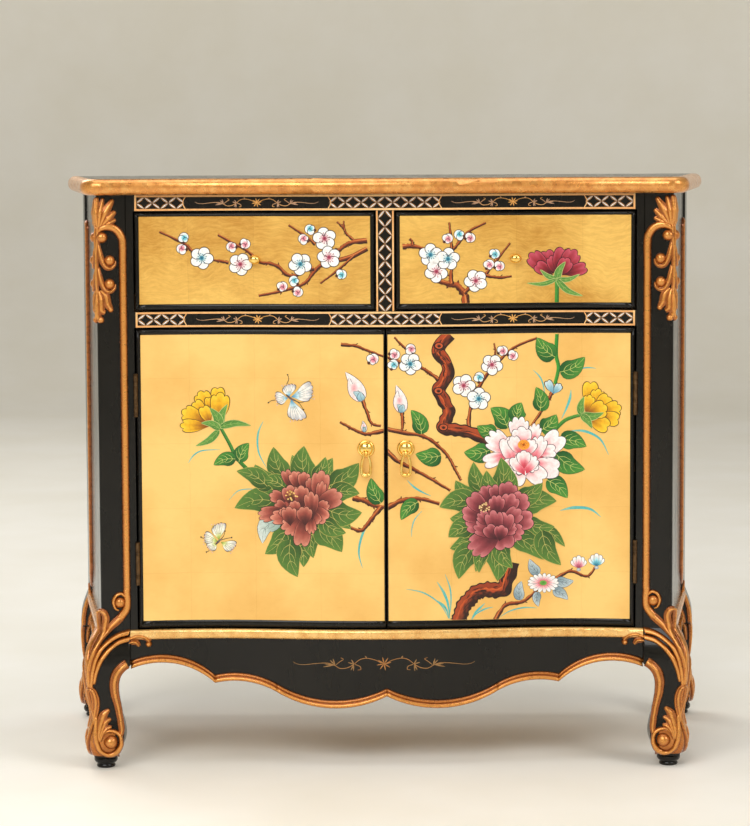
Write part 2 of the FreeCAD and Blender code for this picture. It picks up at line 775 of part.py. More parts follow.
def shelf_batten():
    front, back = POST_BACK_Y + SHELF_SETBACK, REAR_POST_Y - BATTEN_END
    near, far = SIDE_INSET + SIDE_THICK, SIDE_INSET + SIDE_THICK + BATTEN_W
    outline = [(side_x(front, near), front), (side_x(back, near), back), (side_x(back, far), back)]
    outline.append((side_x(front, far), front))
    return prism(outline, SHELF_Z - BATTEN_H, SHELF_Z)


def side_panel():
    return side_slab(SIDE_INSET, SIDE_INSET + SIDE_THICK, BOTTOM_RAIL_Z, TOP_Z)


def back_panel():
    return box(-REAR_IN_X, REAR_IN_X, BACK_FACE_Y, BACK_FACE_Y + BACK_THICK, BOTTOM_RAIL_Z, TOP_Z)


def back_rail():
    low = BOTTOM_RAIL_Z - BACK_RAIL_H
    back = BACK_FACE_Y + BACK_THICK
    return box(-REAR_IN_X, REAR_IN_X, back - BACK_RAIL_D, back, low, BOTTOM_RAIL_Z)


def drawer_divider():
    return box(-DIVIDER_HALF, DIVIDER_HALF, POST_BACK_Y, BACK_FACE_Y, MIDDLE_RAIL_TOP, TOP_Z)


def drawer_guide():
    """The strip on the dust board that keeps a drawer's outer side straight."""
    near = STILE_IN_X - DRAWER_SIDE_SETBACK + SLIDE_PLAY
    return box(near, near + GUIDE_W, POST_BACK_Y, BACK_FACE_Y, MIDDLE_RAIL_TOP, MIDDLE_RAIL_TOP + GUIDE_H)


def drawer_stop():
    """The block behind a drawer that brings its front flush when it is shut."""
    x_low, x_high = KNOB_X - STOP_W / 2, KNOB_X + STOP_W / 2
    front = FRONT_BACK_Y + DRAWER_BOX_D + SLIDE_PLAY
    return box(x_low, x_high, front, front + STOP_D, MIDDLE_RAIL_TOP, MIDDLE_RAIL_TOP + STOP_H)


def door_catch():
    """A magnetic catch under the middle rail, behind the head of a door."""
    face = FRONT_BACK_Y + STRIKE_THICK + CATCH_GAP
    x_low, x_high = CATCH_X - CATCH_W / 2, CATCH_X + CATCH_W / 2
    return box(x_low, x_high, face, face + CATCH_D, MIDDLE_RAIL_Z - CATCH_H, MIDDLE_RAIL_Z)


# Doors and drawers.


def leaf_front(x_low, x_high, z_low, z_high, panel):
    """A serpentine door or drawer front with a rebate for its gold-leaf panel."""
    front = front_block(x_low, x_high, 0.0, FRONT_BACK_Y, z_low, z_high)
    return front.cut(panel)


def gold_panel(x_low, x_high, z_low, z_high):
    return front_band(x_low, x_high, PANEL_PROUD, PANEL_THICK - PANEL_PROUD, z_low, z_high)


def through_hole(x, z, radius):
    return Part.makeCylinder(radius, DEPTH, Vector(x, FRONT_Y - DEPTH / 2, z), Vector(0, 1, 0))


def door_panel():
    inner, outer = MEETING_GAP / 2 + RIM_MEETING, DOOR_OUT_X - RIM_SIDE
    return gold_panel(inner, outer, DOOR_FOOT_Z + DOOR_RIM_FOOT, DOOR_HEAD_Z - DOOR_RIM_TOP)


def door():
    """A door's board, its panel, and both bored for the pull's bolt."""
    panel = door_panel()
    board = leaf_front(MEETING_GAP / 2, DOOR_OUT_X, DOOR_FOOT_Z, DOOR_HEAD_Z, panel)
    hole = through_hole(PULL_X, PULL_Z, BOLT_R + BOLT_PLAY)
    return board.cut(hole), panel.cut(hole)


def drawer_span():
    return CENTRE_STILE_HALF + FRONT_GAP, STILE_IN_X - FRONT_GAP


def drawer():
    """A drawer's front and panel, both bored for the knob."""
    low, high = drawer_span()
    foot, head = DRAWER_FOOT_Z + DRAWER_RIM_FOOT, DRAWER_HEAD_Z - DRAWER_RIM_TOP
    panel = gold_panel(low + RIM_SIDE, high - RIM_SIDE, foot, head)
    front = leaf_front(low, high, DRAWER_FOOT_Z, DRAWER_HEAD_Z, panel)
    hole = through_hole(KNOB_X, KNOB_Z, BOLT_R + BOLT_PLAY)
    return front.cut(hole), panel.cut(hole)


def drawer_box():
    """A drawer's sides and back, which run on the dust board, and its bottom."""
    outer_low = DIVIDER_HALF + DRAWER_SIDE_SETBACK
    outer_high = STILE_IN_X - DRAWER_SIDE_SETBACK
    foot = MIDDLE_RAIL_TOP + SLIDE_PLAY
    head = foot + DRAWER_BOX_H
    start, end = FRONT_BACK_Y, FRONT_BACK_Y + DRAWER_BOX_D
    left = box(outer_low, outer_low + DRAWER_SIDE, start, end, foot, head)
    right = box(outer_high - DRAWER_SIDE, outer_high, start, end, foot, head)
    inner_low, inner_high = outer_low + DRAWER_SIDE, outer_high - DRAWER_SIDE
    base = foot + FRONT_GAP
    back = box(inner_low, inner_high, end - DRAWER_SIDE, end, base, head)
    bottom = box(inner_low, inner_high, start, end - DRAWER_SIDE, base, base + DRAWER_BOTTOM)
    return Part.makeCompound([left, right, back]), bottom


def drawer_knob():
    """A small oval brass knob on a neck, with its screw shank through the drawer front."""
    face = front_y(KNOB_X, PANEL_PROUD)
    head_y = face - KNOB_NECK
    ball = Part.makeSphere(1.0)
    shape = FreeCAD.Matrix()
    shape.scale(KNOB_HALF_W, KNOB_DEPTH, KNOB_HALF_H)
    ball = ball.transformGeometry(shape)
    middle = Vector(KNOB_X, head_y, KNOB_Z)
    ball.translate(middle)
    neck = Part.makeCylinder(KNOB_STEM_R, KNOB_NECK, middle, Vector(0, 1, 0))
    neck = neck.cut(front_block(0.0, STILE_IN_X, PANEL_PROUD, FRONT_BACK_Y, DRAWER_FOOT_Z, DRAWER_HEAD_Z))
    shank = Part.makeCylinder(BOLT_R, FRONT_BACK_Y + NUT_H - head_y, middle, Vector(0, 1, 0))
    return ball.fuse(neck).fuse(shank).removeSplitter()


def shank_nut(x, z):
    """The nut and washer on a pull's or a knob's shank, behind the front."""
    nut = Part.makeCylinder(NUT_R, NUT_H, Vector(x, FRONT_BACK_Y, z), Vector(0, 1, 0))
    return nut.cut(Part.makeCylinder(BOLT_R, NUT_H, Vector(x, FRONT_BACK_Y, z), Vector(0, 1, 0)))


# Door pulls.


PULL_FACE_Y = front_y(PULL_X - ROSETTE_R, PANEL_PROUD)
AXLE_Y = PULL_FACE_Y - EYE_STEM_OUT
AXLE_Z = PULL_Z - EYE_DROP


def pull_rosette():
    """The domed rosette, the eye that carries the drop, and the bolt through the door."""
    dome_r = (ROSETTE_R ** 2 + ROSETTE_H ** 2) / (2 * ROSETTE_H)
    ball = Part.makeSphere(dome_r, Vector(PULL_X, PULL_FACE_Y - ROSETTE_H + dome_r, PULL_Z))
    left, right = PULL_X - ROSETTE_R, PULL_X + ROSETTE_R
    low, high = PULL_Z - ROSETTE_R, PULL_Z + ROSETTE_R
    dome = ball.common(box(left, right, PULL_FACE_Y - ROSETTE_H, PULL_FACE_Y, low, high))
    bolt_length = FRONT_BACK_Y + NUT_H - PULL_FACE_Y
    bolt = Part.makeCylinder(BOLT_R, bolt_length, Vector(PULL_X, PULL_FACE_Y, PULL_Z), Vector(0, 1, 0))
    half = DROP_THICK / 2
    low, high = AXLE_Z - EYE_STEM_R, AXLE_Z + EYE_STEM_R
    eye = box(PULL_X - half, PULL_X + half, AXLE_Y, PULL_FACE_Y, low, high)
    nose = Part.makeCylinder(EYE_STEM_R, DROP_THICK, Vector(PULL_X - half, AXLE_Y, AXLE_Z), Vector(1, 0, 0))
    solid = dome.fuse(bolt).fuse(eye).fuse(nose)
    start = Vector(PULL_X - DROP_W / 2, AXLE_Y, AXLE_Z)
    bore = Part.makeCylinder(AXLE_R + AXLE_PLAY, DROP_W, start, Vector(1, 0, 0))
    return solid.cut(bore).removeSplitter()


def pull_drop():
    """The hanging stirrup: a ring with a window, forked at its head around the rosette's eye."""
    half = DROP_W / 2
    shoulder = AXLE_Z - DROP_HEAD_R - EYE_STEM_R
    foot = AXLE_Z - DROP_LENGTH
    fork_in = DROP_THICK / 2 + AXLE_PLAY * 3
    fork_out = fork_in + DROP_THICK
    y_low, y_high = AXLE_Y - DROP_THICK / 2, AXLE_Y + DROP_THICK / 2
    outline = [
        (-fork_out, AXLE_Z), (-half, shoulder), (-half, foot + DROP_BAR), (-half + DROP_BAR, foot),
        (half - DROP_BAR, foot), (half, foot + DROP_BAR), (half, shoulder), (fork_out, AXLE_Z),
    ]
    plate = flat(outline)
    plate.translate(Vector(PULL_X, y_low, 0))
    plate = plate.extrude(Vector(0, DROP_THICK, 0))
    window_in = half - DROP_BAR
    window = box(PULL_X - window_in, PULL_X + window_in, y_low, y_high, foot + DROP_BAR * 1.4, shoulder)
    slot = box(PULL_X - fork_in, PULL_X + fork_in, y_low, y_high, shoulder - DROP_BAR, AXLE_Z + DROP_HEAD_R)
    ring = plate.cut(window).cut(slot)
    for side in (-1, 1):
        low = PULL_X + min(side * fork_in, side * fork_out)
        start = Vector(low, AXLE_Y, AXLE_Z)
        ring = ring.fuse(Part.makeCylinder(DROP_THICK / 2 + AXLE_R, DROP_THICK, start, Vector(1, 0, 0)))
    start = Vector(PULL_X - fork_out, AXLE_Y, AXLE_Z)
    axle = Part.makeCylinder(AXLE_R, fork_out * 2, start, Vector(1, 0, 0))
    return ring.fuse(axle).removeSplitter()


# Hinges.


def knuckle(z_low, z_high, bore):
    barrel = Part.makeCylinder(KNUCKLE_R, z_high - z_low, Vector(HINGE_X, HINGE_Y, z_low))
    return barrel.cut(Part.makeCylinder(bore, z_high - z_low, Vector(HINGE_X, HINGE_Y, z_low)))


def leaf(x_low, spans, bore, z_mid):
    """A hinge leaf with its knuckles, set upright in the gap beside the door."""
    low, high = z_mid - HINGE_H / 2, z_mid + HINGE_H / 2
    face = HINGE_Y + KNUCKLE_R + KNUCKLE_PLAY
    plate = box(x_low, x_low + LEAF_THICK, face, face + LEAF_DEPTH, low, high)
    for span_low, span_high in spans:
        tab = box(x_low, x_low + LEAF_THICK, HINGE_Y, face, span_low, span_high)
        tab = tab.cut(Part.makeCylinder(bore, HINGE_H, Vector(HINGE_X, HINGE_Y, low)))
        plate = plate.fuse(tab).fuse(knuckle(span_low, span_high, bore))
    return plate.removeSplitter()


def frame_leaves():
    """The leaves on the hinge stile: each has the upper and the lower knuckle."""
    solids = []
    for z in HINGE_Z:
        low, high = z - HINGE_H / 2, z + HINGE_H / 2
        spans = [(low, low + OUTER_KNUCKLE), (high - OUTER_KNUCKLE, high)]
        solids.append(leaf(STILE_IN_X - LEAF_THICK, spans, PIN_R, z))
    return Part.makeCompound(solids)


def door_leaves():
    """The leaves on the door's edge: each has the middle knuckle."""
    solids = []
    for z in HINGE_Z:
        reach = HINGE_H / 2 - OUTER_KNUCKLE - KNUCKLE_PLAY
        solids.append(leaf(DOOR_OUT_X, [(z - reach, z + reach)], PIN_R + PIN_PLAY, z))
    return Part.makeCompound(solids)


def hinge_pins():
    pins = [Part.makeCylinder(PIN_R, HINGE_H, Vector(HINGE_X, HINGE_Y, z - HINGE_H / 2)) for z in HINGE_Z]
    return Part.makeCompound(pins)


def door_strike():
    """The steel strike plate on the back of a door, opposite its catch."""
    middle = MIDDLE_RAIL_Z - CATCH_H / 2 - FRONT_GAP
    x_low, z_low = CATCH_X - STRIKE_W / 2, middle - STRIKE_H / 2
    return box(x_low, x_low + STRIKE_W, FRONT_BACK_Y, FRONT_BACK_Y + STRIKE_THICK, z_low, z_low + STRIKE_H)


def case_nodes():
    nodes = {
        "top_board": top_board(),
        "top_edge_moulding": top_edge(),
        "top_rail": frame_rail(TOP_RAIL_Z, TOP_Z),
        "middle_rail": frame_rail(MIDDLE_RAIL_Z, MIDDLE_RAIL_TOP),
        "bottom_rail": bottom_rail(),
        "centre_stile": centre_stile(),
        "front_bead": front_bead(),
        "front_apron": front_apron(),
        "front_apron_edge": front_apron_edge(),
        "bottom_board": bottom_board(),
        "dust_board": dust_board(),
        "shelf": shelf(),
        "back_panel": back_panel(),
        "back_rail": back_rail(),
        "drawer_divider": drawer_divider(),
        "foot_pads": Part.makeCompound([foot_pad(place) for place in foot_places()]),
        "shelf_battens": pair(shelf_batten()),
        "drawer_guides": pair(drawer_guide()),
        "drawer_stops": pair(drawer_stop()),
        "door_catches": pair(door_catch()),
        "side_aprons": pair(side_apron()),
        "side_apron_edges": pair(side_apron_edge()),
        "side_beads": pair(side_bead()),
        "frame_stiles": pair(frame_stile()),
        "post_strips": pair(post_strips()),
        "post_carvings": pair(post_carving()),
        "hinge_frame_leaves": pair(frame_leaves()),
        "hinge_pins": pair(hinge_pins()),
    }
    sided = {
        "front_post": front_post(),
        "rear_post": rear_post(),
        "side_panel": side_panel(),
    }
    return nodes, sided


def moving_nodes():
    board, panel = door()
    front, front_panel = drawer()
    sides, bottom = drawer_box()
    return {
        "door_board": board,
        "door_gold_panel": panel,
        "hinge_door_leaves": door_leaves(),
        "door_strike": door_strike(),
        "pull_rosette": pull_rosette(),
        "pull_nut": shank_nut(PULL_X, PULL_Z),
        "pull_drop": pull_drop(),
        "drawer_front": front,
        "drawer_gold_panel": front_panel,
        "drawer_box": sides,
        "drawer_bottom": bottom,
        "drawer_knob": drawer_knob(),
        "knob_nut": shank_nut(KNOB_X, KNOB_Z),
    }


def main():
    os.makedirs(OUT, exist_ok=True)
    nodes, sided = case_nodes()
    sided.update(moving_nodes())
    for name, shape in sided.items():
        nodes["right_" + name] = shape
        nodes["left_" + name] = mirrored(shape)
    for name, shape in nodes.items():
        shape.exportStep(os.path.join(OUT, name + ".step"))
        kinds = f"{len(shape.Solids)} solids, {'valid' if shape.isValid() else 'NOT VALID'}"
        print(f"{name}: {kinds}, {shape.Volume / 1000:.1f} cm3")
    print(len(nodes), "nodes")


main()
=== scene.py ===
# %% [markdown]
# # A lacquered entryway cabinet
# The real piece is a black lacquered cabinet with a serpentine front, gilded carving, and doors and
# drawers covered in gold leaf and painted with flowers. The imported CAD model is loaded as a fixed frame
# in metres, and everything made here rides on one of its bodies.

# %% Load the frame
import math
import random

import bmesh
import bpy
from mathutils import Matrix, Vector


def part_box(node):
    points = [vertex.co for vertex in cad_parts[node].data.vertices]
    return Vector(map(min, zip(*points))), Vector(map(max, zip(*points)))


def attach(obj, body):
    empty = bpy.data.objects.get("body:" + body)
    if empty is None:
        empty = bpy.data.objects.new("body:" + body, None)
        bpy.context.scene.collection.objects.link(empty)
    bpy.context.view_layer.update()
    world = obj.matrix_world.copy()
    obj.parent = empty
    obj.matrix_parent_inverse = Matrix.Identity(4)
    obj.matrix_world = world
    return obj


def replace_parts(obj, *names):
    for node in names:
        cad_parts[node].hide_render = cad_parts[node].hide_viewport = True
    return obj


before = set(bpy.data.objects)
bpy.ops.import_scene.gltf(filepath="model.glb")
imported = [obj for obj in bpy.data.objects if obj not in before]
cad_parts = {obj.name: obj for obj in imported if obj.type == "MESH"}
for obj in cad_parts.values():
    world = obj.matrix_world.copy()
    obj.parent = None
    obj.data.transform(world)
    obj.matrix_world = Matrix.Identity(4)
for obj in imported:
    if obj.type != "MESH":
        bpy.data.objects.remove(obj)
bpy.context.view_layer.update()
scene = bpy.context.scene
scene.view_settings.view_transform = "Standard"

# %% [markdown]
# ## The camera
# A photograph taken from a few metres away is matched by a long lens, a small downward tilt and a lens
# shift, because the picture was cropped off-centre. Once the camera is known, any pixel of the picture
# gives a line of sight, and the place where that line meets the cabinet is where a detail belongs.

# %% Camera
PHOTO_W, PHOTO_H = 750, 826
LENS_PX = 2590.24
AXIS_X, AXIS_Y = 385.5, 359.43
EYE = Vector((0.0, -3.8656, 0.8958))
PITCH, ROLL = math.radians(4.7227), math.radians(0.25)
SENSOR_MM = 36.0

camera_data = bpy.data.cameras.new("photo_camera")
camera_data.sensor_fit = "VERTICAL"
camera_data.sensor_height = SENSOR_MM
camera_data.lens = LENS_PX * SENSOR_MM / PHOTO_H
camera_data.shift_x = (PHOTO_W / 2 - AXIS_X) / PHOTO_H
camera_data.shift_y = (AXIS_Y - PHOTO_H / 2) / PHOTO_H
camera = bpy.data.objects.new("photo_camera", camera_data)
scene.collection.objects.link(camera)
tilt = Matrix.Rotation(math.pi / 2 - PITCH, 4, "X") @ Matrix.Rotation(-ROLL, 4, "Z")
camera.matrix_world = Matrix.Translation(EYE) @ tilt
scene.camera = camera
print("lens", round(camera_data.lens, 1), "mm")

# %% Lines of sight
TURN = tilt.to_3x3()


def sight(px, py):
    """The line of sight through a pixel of the photograph."""
    return TURN @ Vector(((px - AXIS_X) / LENS_PX, (AXIS_Y - py) / LENS_PX, -1.0))


print("the picture's middle is seen along", sight(PHOTO_W / 2, PHOTO_H / 2))

# %% [markdown]
# ## Floor and light
# The stage is a round pale floor whose rim bends up into a wall, so no horizon line is seen from any
# side. Large soft lamps stand in for studio softboxes: lacquer and gilding show their shape through what
# they reflect, so the size of a lamp matters more than its power. They hang high, so that the polished top
# doesn't mirror them in a view from the side.

# %% Stage
FLAT, BEND, WALL = 5.0, 1.6, 3.4
BEND_STEPS, STAGE_STEPS = 12, 72


def smooth_object(name, bm, material=None):
    """A finished object from a bmesh, with its place in its mesh."""
    mesh = bpy.data.meshes.new(name)
    for face in bm.faces:
        face.smooth = True
    bm.to_mesh(mesh)
    bm.free()
    made = bpy.data.objects.new(name, mesh)
    scene.collection.objects.link(made)
    if material:
        mesh.materials.append(material)
    return made


def stage_dish():
    """A round floor, in metres, with a rim that bends up into a low wall."""
    bm = bmesh.new()
    turns = [step * math.pi / 2 / BEND_STEPS for step in range(BEND_STEPS + 1)]
    bent = [(FLAT + BEND * math.sin(t), BEND * (1 - math.cos(t))) for t in turns]
    line = [(0.0, 0.0), (FLAT / 2, 0.0), *bent, (FLAT + BEND, WALL)]
    verts = [bm.verts.new((far, 0.0, up)) for far, up in line]
    edges = [bm.edges.new(pair) for pair in zip(verts, verts[1:])]
    bmesh.ops.spin(bm, geom=verts + edges, cent=(0, 0, 0), axis=(0, 0, 1), angle=math.tau,
                   steps=STAGE_STEPS, use_merge=True)
    bmesh.ops.remove_doubles(bm, verts=bm.verts, dist=1e-5)
    return smooth_object("studio_floor", bm)


floor = stage_dish()
print("stage", FLAT + BEND, "m out to its wall")

# %% Lamps


def lamp(name, place, target, size, watts):
    """A soft oblong lamp that points at a target."""
    data = bpy.data.lights.new(name, "AREA")
    data.shape = "RECTANGLE"
    data.size, data.size_y = size
    data.energy = watts
    made = bpy.data.objects.new(name, data)
    made.location = place
    made.rotation_euler = (Vector(target) - Vector(place)).to_track_quat("-Z", "Y").to_euler()
    scene.collection.objects.link(made)


lamp("front_softbox", (-1.6, -4.0, 3.5), (0.0, 0.0, 0.5), size=(3.4, 2.4), watts=136)
lamp("right_softbox", (3.0, -2.6, 3.0), (0.0, 0.0, 0.45), size=(1.8, 2.2), watts=57)
lamp("top_softbox", (0.0, -0.2, 3.4), (0.0, -0.2, 0.5), size=(3.0, 2.4), watts=44)
lamp("back_softbox", (-2.2, 2.8, 3.2), (0.0, 0.1, 0.5), size=(2.2, 2.2), watts=57)
world = bpy.data.worlds.new("studio")
scene.world = world
world.use_nodes = True
sky = world.node_tree.nodes["Background"].inputs
sky["Color"].default_value = (0.90, 0.89, 0.86, 1.0)
sky["Strength"].default_value = 0.22
print(len(bpy.data.lights), "lamps")

# %% [markdown]
# ## Finishes
# Each finish is one Principled shader. Its colour, roughness and bump come from noise in Object
# coordinates, which are the cabinet's own metres, so a scale of 100 means a grain of about a centimetre.
# Small helpers keep the node code short: one adds a node and fills its sockets, the others are for the
# three patterns that every finish needs.

# %% Colours and nodes


def srgb(r, g, b):
    """A screen colour, from 0 to 255, as the linear values that Blender works in."""
    lin = [(v / 255) / 12.92 if v <= 10 else ((v / 255 + 0.055) / 1.055) ** 2.4 for v in (r, g, b)]
    return (*lin, 1.0)


def node(material, kind, sockets, **settings):
    """Adds a node; a socket gets a link where its value is another socket, and a number otherwise."""
    made = material.node_tree.nodes.new("ShaderNode" + kind)
    for name, value in settings.items():
        setattr(made, name, value)
    for name, value in sockets.items():
        if isinstance(value, bpy.types.NodeSocket):
            material.node_tree.links.new(value, made.inputs[name])
        else:
            made.inputs[name].default_value = value
    return made


def finish(name, **sockets):
    """A new Principled material with its constant values set on the shader."""
    material = bpy.data.materials.new(name)
    material.use_nodes = True
    shader = material.node_tree.nodes["Principled BSDF"]
    for socket, value in sockets.items():
        shader.inputs[socket.replace("_", " ")].default_value = value
    return material


def feed(material, socket, value):
    """Links a pattern to a socket of the material's shader."""
    shader = material.node_tree.nodes["Principled BSDF"]
    material.node_tree.links.new(value, shader.inputs[socket])


print("a middle grey of 128 is", round(srgb(128, 128, 128)[0], 3), "in linear light")

# %% Patterns
# Noise seldom leaves this band, so roughness is spread over it.
NOISE_LOW, NOISE_HIGH = 0.3, 0.7
# The colour sockets of the Mix node share their names with others, so they are known by number.
MIX_FACTOR, MIX_FIRST, MIX_SECOND, MIX_RESULT = 0, 6, 7, 2


def grain(material, scale, stretch=(1.0, 1.0, 1.0), detail=4.0, rough=0.55):
    """Noise in the cabinet's own metres, drawn out along an axis where its stretch is small."""
    coords = node(material, "TexCoord", {})
    mapped = node(material, "Mapping", {"Vector": coords.outputs["Object"], "Scale": stretch})
    sockets = {"Vector": mapped.outputs["Vector"], "Scale": scale, "Detail": detail, "Roughness": rough}
    return node(material, "TexNoise", sockets).outputs["Fac"]


def ramp(material, fac, *stops):
    """A colour ramp from (place, colour) stops."""
    made = node(material, "ValToRGB", {"Fac": fac})
    elements = made.color_ramp.elements
    while len(elements) < len(stops):
        elements.new(0.5)
    for element, (place, colour) in zip(elements, stops):
        element.position = place
        element.color = colour
    return made.outputs["Color"]


def spread(material, fac, low, high):
    """Takes a 0 to 1 pattern to a range of numbers, for roughness."""
    sockets = {"Value": fac, "From Min": NOISE_LOW, "From Max": NOISE_HIGH, "To Min": low, "To Max": high}
    return node(material, "MapRange", sockets).outputs["Result"]


def blend_colours(material, kind, fac, first, second):
    """Mixes two colours; fac may be a number or a pattern."""
    sockets = {MIX_FACTOR: fac, MIX_FIRST: first, MIX_SECOND: second}
    made = node(material, "Mix", sockets, data_type="RGBA", blend_type=kind)
    return made.outputs[MIX_RESULT]


def raise_bump(material, height, strength, distance):
    """Lets a pattern raise the surface by up to a distance in metres."""
    made = node(material, "Bump", {"Height": height, "Strength": strength, "Distance": distance})
    feed(material, "Normal", made.outputs["Normal"])


print("roughness is spread over noise from", NOISE_LOW, "to", NOISE_HIGH)

# %% [markdown]
# ## Lacquer, gilding and leaf
# Lacquer is nearly black with a clear coat over it, and faint unevenness left by rubbing down. Gilding on
# carved wood is warm and coppery, with brown where it is rubbed or thin. On carving it is also darker in
# the grooves, partly antique wear and partly painted shade, and paler on the crests as painted highlight.
# The panels are real squares of leaf laid edge to edge, so their material has a faint grid of seams, tone
# that changes from square to square, large clouds that are partly the leaf's own mottling and partly
# painted sheen, and fine brush lines.

# %% Lacquer
lacquer = finish("black_lacquer", Coat_Weight=0.18, Coat_Roughness=0.05, Specular_IOR_Level=0.22)
rub = grain(lacquer, 9.0)
feed(lacquer, "Base Color", ramp(lacquer, rub, (0.3, srgb(8, 6, 3)), (0.7, srgb(18, 14, 8))))
feed(lacquer, "Roughness", spread(lacquer, grain(lacquer, 40.0, (1.0, 1.0, 0.25)), 0.16, 0.32))
raise_bump(lacquer, grain(lacquer, 260.0, detail=2.0), 0.05, 0.001)
print(lacquer.name, len(lacquer.node_tree.nodes), "nodes")

# %% Gilding
# Tones by relief: darker in the grooves, partly antique wear and partly painted shade, and paler on the
# crests as painted highlight.
RELIEF_SHADE_TONES = ((0.08, (30, 12, 4)), (0.45, (126, 60, 16)), (0.75, (188, 110, 40)), (0.97, (232, 160, 76)))


def gilding(name, dark, middle, pale, relief):
    """Gold over carved or moulded wood; with relief, an attribute tells grooves from crests.

    The grooves are then darker, partly antique wear and partly painted shade, and the crests paler, as
    painted highlight.
    """
    made = finish(name, Metallic=0.62, Coat_Weight=0.4, Coat_Roughness=0.1)
    patches = grain(made, 150.0, (0.5, 1.0, 0.5), detail=8.0, rough=0.68)
    tone = ramp(made, patches, (0.25, srgb(*dark)), (0.5, srgb(*middle)), (0.78, srgb(*pale)))
    # Painted shade in the grooves and painted highlight on the crests, mixed into the gold at three quarters.
    if relief:
        depth = node(made, "Attribute", {}, attribute_name="relief").outputs["Fac"]
        stops = [(place, srgb(*colour)) for place, colour in RELIEF_SHADE_TONES]
        tone = blend_colours(made, "MIX", 0.75, tone, ramp(made, depth, *stops))
    feed(made, "Base Color", tone)
    feed(made, "Roughness", spread(made, grain(made, 90.0), 0.20, 0.38))
    raise_bump(made, grain(made, 420.0, detail=3.0), 0.16, 0.001)
    return made


gilt = gilding("gilded_moulding", (180, 108, 44), (216, 146, 70), (240, 186, 108), False)
pale_gilt = gilding("gilded_bead", (206, 144, 72), (236, 186, 110), (250, 212, 144), False)
carved_gilt = gilding("gilded_carving", (108, 54, 16), (166, 96, 32), (208, 142, 62), True)
print(gilt.name, pale_gilt.name, carved_gilt.name)

# %% Gold leaf
LEAF_SQUARE, LEAF_SEAM = 0.094, 0.0006
DOOR_GOLD = ((224, 166, 78), (247, 198, 110), (250, 203, 116), (255, 214, 130))
DRAWER_GOLD = ((180, 122, 36), (206, 150, 56), (240, 188, 88), (255, 216, 120))


def leaf_panel(name, tones, swirl):
    """Squares of gold leaf under a thin varnish, with clouds that are partly its own mottling and partly
    painted sheen, and brush lines of a given strength.
    """
    made = finish(name, Metallic=0.30, Coat_Weight=0.30, Coat_Roughness=0.22)
    dark, low, high, pale = (srgb(*tone) for tone in tones)
    coords = node(made, "TexCoord", {})
    upright = {"Vector": coords.outputs["Object"], "Rotation": (math.pi / 2, 0.0, 0.0)}
    turned = node(made, "Mapping", upright).outputs["Vector"]
    wobble = node(made, "TexNoise", {"Vector": turned, "Scale": 60.0, "Detail": 3.0})
    shifted = blend_colours(made, "LINEAR_LIGHT", 0.002, turned, wobble.outputs["Color"])
    sockets = {"Vector": shifted, "Color1": low, "Color2": high, "Mortar": dark, "Mortar Size": LEAF_SEAM,
               "Mortar Smooth": 1.0, "Scale": 1.0, "Brick Width": LEAF_SQUARE, "Row Height": LEAF_SQUARE}
    squares = node(made, "TexBrick", sockets, offset=0.0)
    # Large clouds of darker and paler leaf: partly the leaf's own mottling, and partly painted sheen and
    # painted shade in place of its satin reflections.
    clouds = ramp(made, grain(made, 6.0, detail=5.0), (0.38, dark), (0.60, pale))
    tone = blend_colours(made, "MIX", 0.6, squares.outputs["Color"], clouds)
    flow = node(made, "TexNoise", {"Vector": turned, "Scale": 7.0, "Detail": 3.0})
    swept = blend_colours(made, "LINEAR_LIGHT", 0.05, turned, flow.outputs["Color"])
    drawn = node(made, "Mapping", {"Vector": swept, "Scale": (0.36, 2.2, 1.0)})
    sockets = {"Vector": drawn.outputs["Vector"], "Scale": 130.0, "Detail": 9.0, "Roughness": 0.8}
    lines = node(made, "TexNoise", sockets).outputs["Fac"]
    brushed = ramp(made, lines, (0.30, dark), (0.44, low), (0.56, high), (0.68, pale))
    feed(made, "Base Color", blend_colours(made, "MIX", swirl, tone, brushed))
    feed(made, "Roughness", spread(made, lines, 0.34, 0.50))
    raise_bump(made, lines, 0.10 + swirl * 0.25, 0.001)
    return made


door_leaf = leaf_panel("door_gold_leaf", DOOR_GOLD, 0.2)
drawer_leaf = leaf_panel("drawer_gold_leaf", DRAWER_GOLD, 0.34)
print("squares of leaf", LEAF_SQUARE, "m wide")

# %% [markdown]
# ## Metal, wood and paint
# The knobs and pulls are bright brass and the hinges dark bronze. Inside, the boards are plain pale wood,
# whose grain is noise stretched along the board, and the back is the same wood stained dark. The painted
# flowers take their colour from an attribute on each point, so one material serves every brush stroke,
# and a little noise breaks the flat colour up.

# %% Metal


def metal(name, low, high, rough):
    """Worked metal, a little uneven in tone and polish."""
    made = finish(name, Metallic=1.0)
    tone = grain(made, 120.0, detail=5.0)
    feed(made, "Base Color", ramp(made, tone, (0.3, srgb(*low)), (0.7, srgb(*high))))
    feed(made, "Roughness", spread(made, grain(made, 300.0), *rough))
    raise_bump(made, grain(made, 900.0, detail=2.0), 0.06, 0.0005)
    return made


brass = metal("polished_brass", (240, 190, 92), (255, 226, 138), (0.1, 0.22))
bronze = metal("dark_bronze", (58, 44, 32), (120, 94, 66), (0.35, 0.55))
steel = metal("strike_steel", (150, 150, 148), (196, 196, 194), (0.28, 0.42))
print(brass.name, bronze.name, steel.name)

# %% Wood, plastic and the stage's paper


def boards(name, dark, pale, scale):
    """Planed wood with its grain along the board."""
    made = finish(name, Specular_IOR_Level=0.35)
    fibres = grain(made, scale, (0.12, 1.0, 1.6), detail=8.0, rough=0.62)
    feed(made, "Base Color", ramp(made, fibres, (0.30, srgb(*dark)), (0.70, srgb(*pale))))
    feed(made, "Roughness", spread(made, fibres, 0.5, 0.66))
    raise_bump(made, fibres, 0.12, 0.001)
    return made


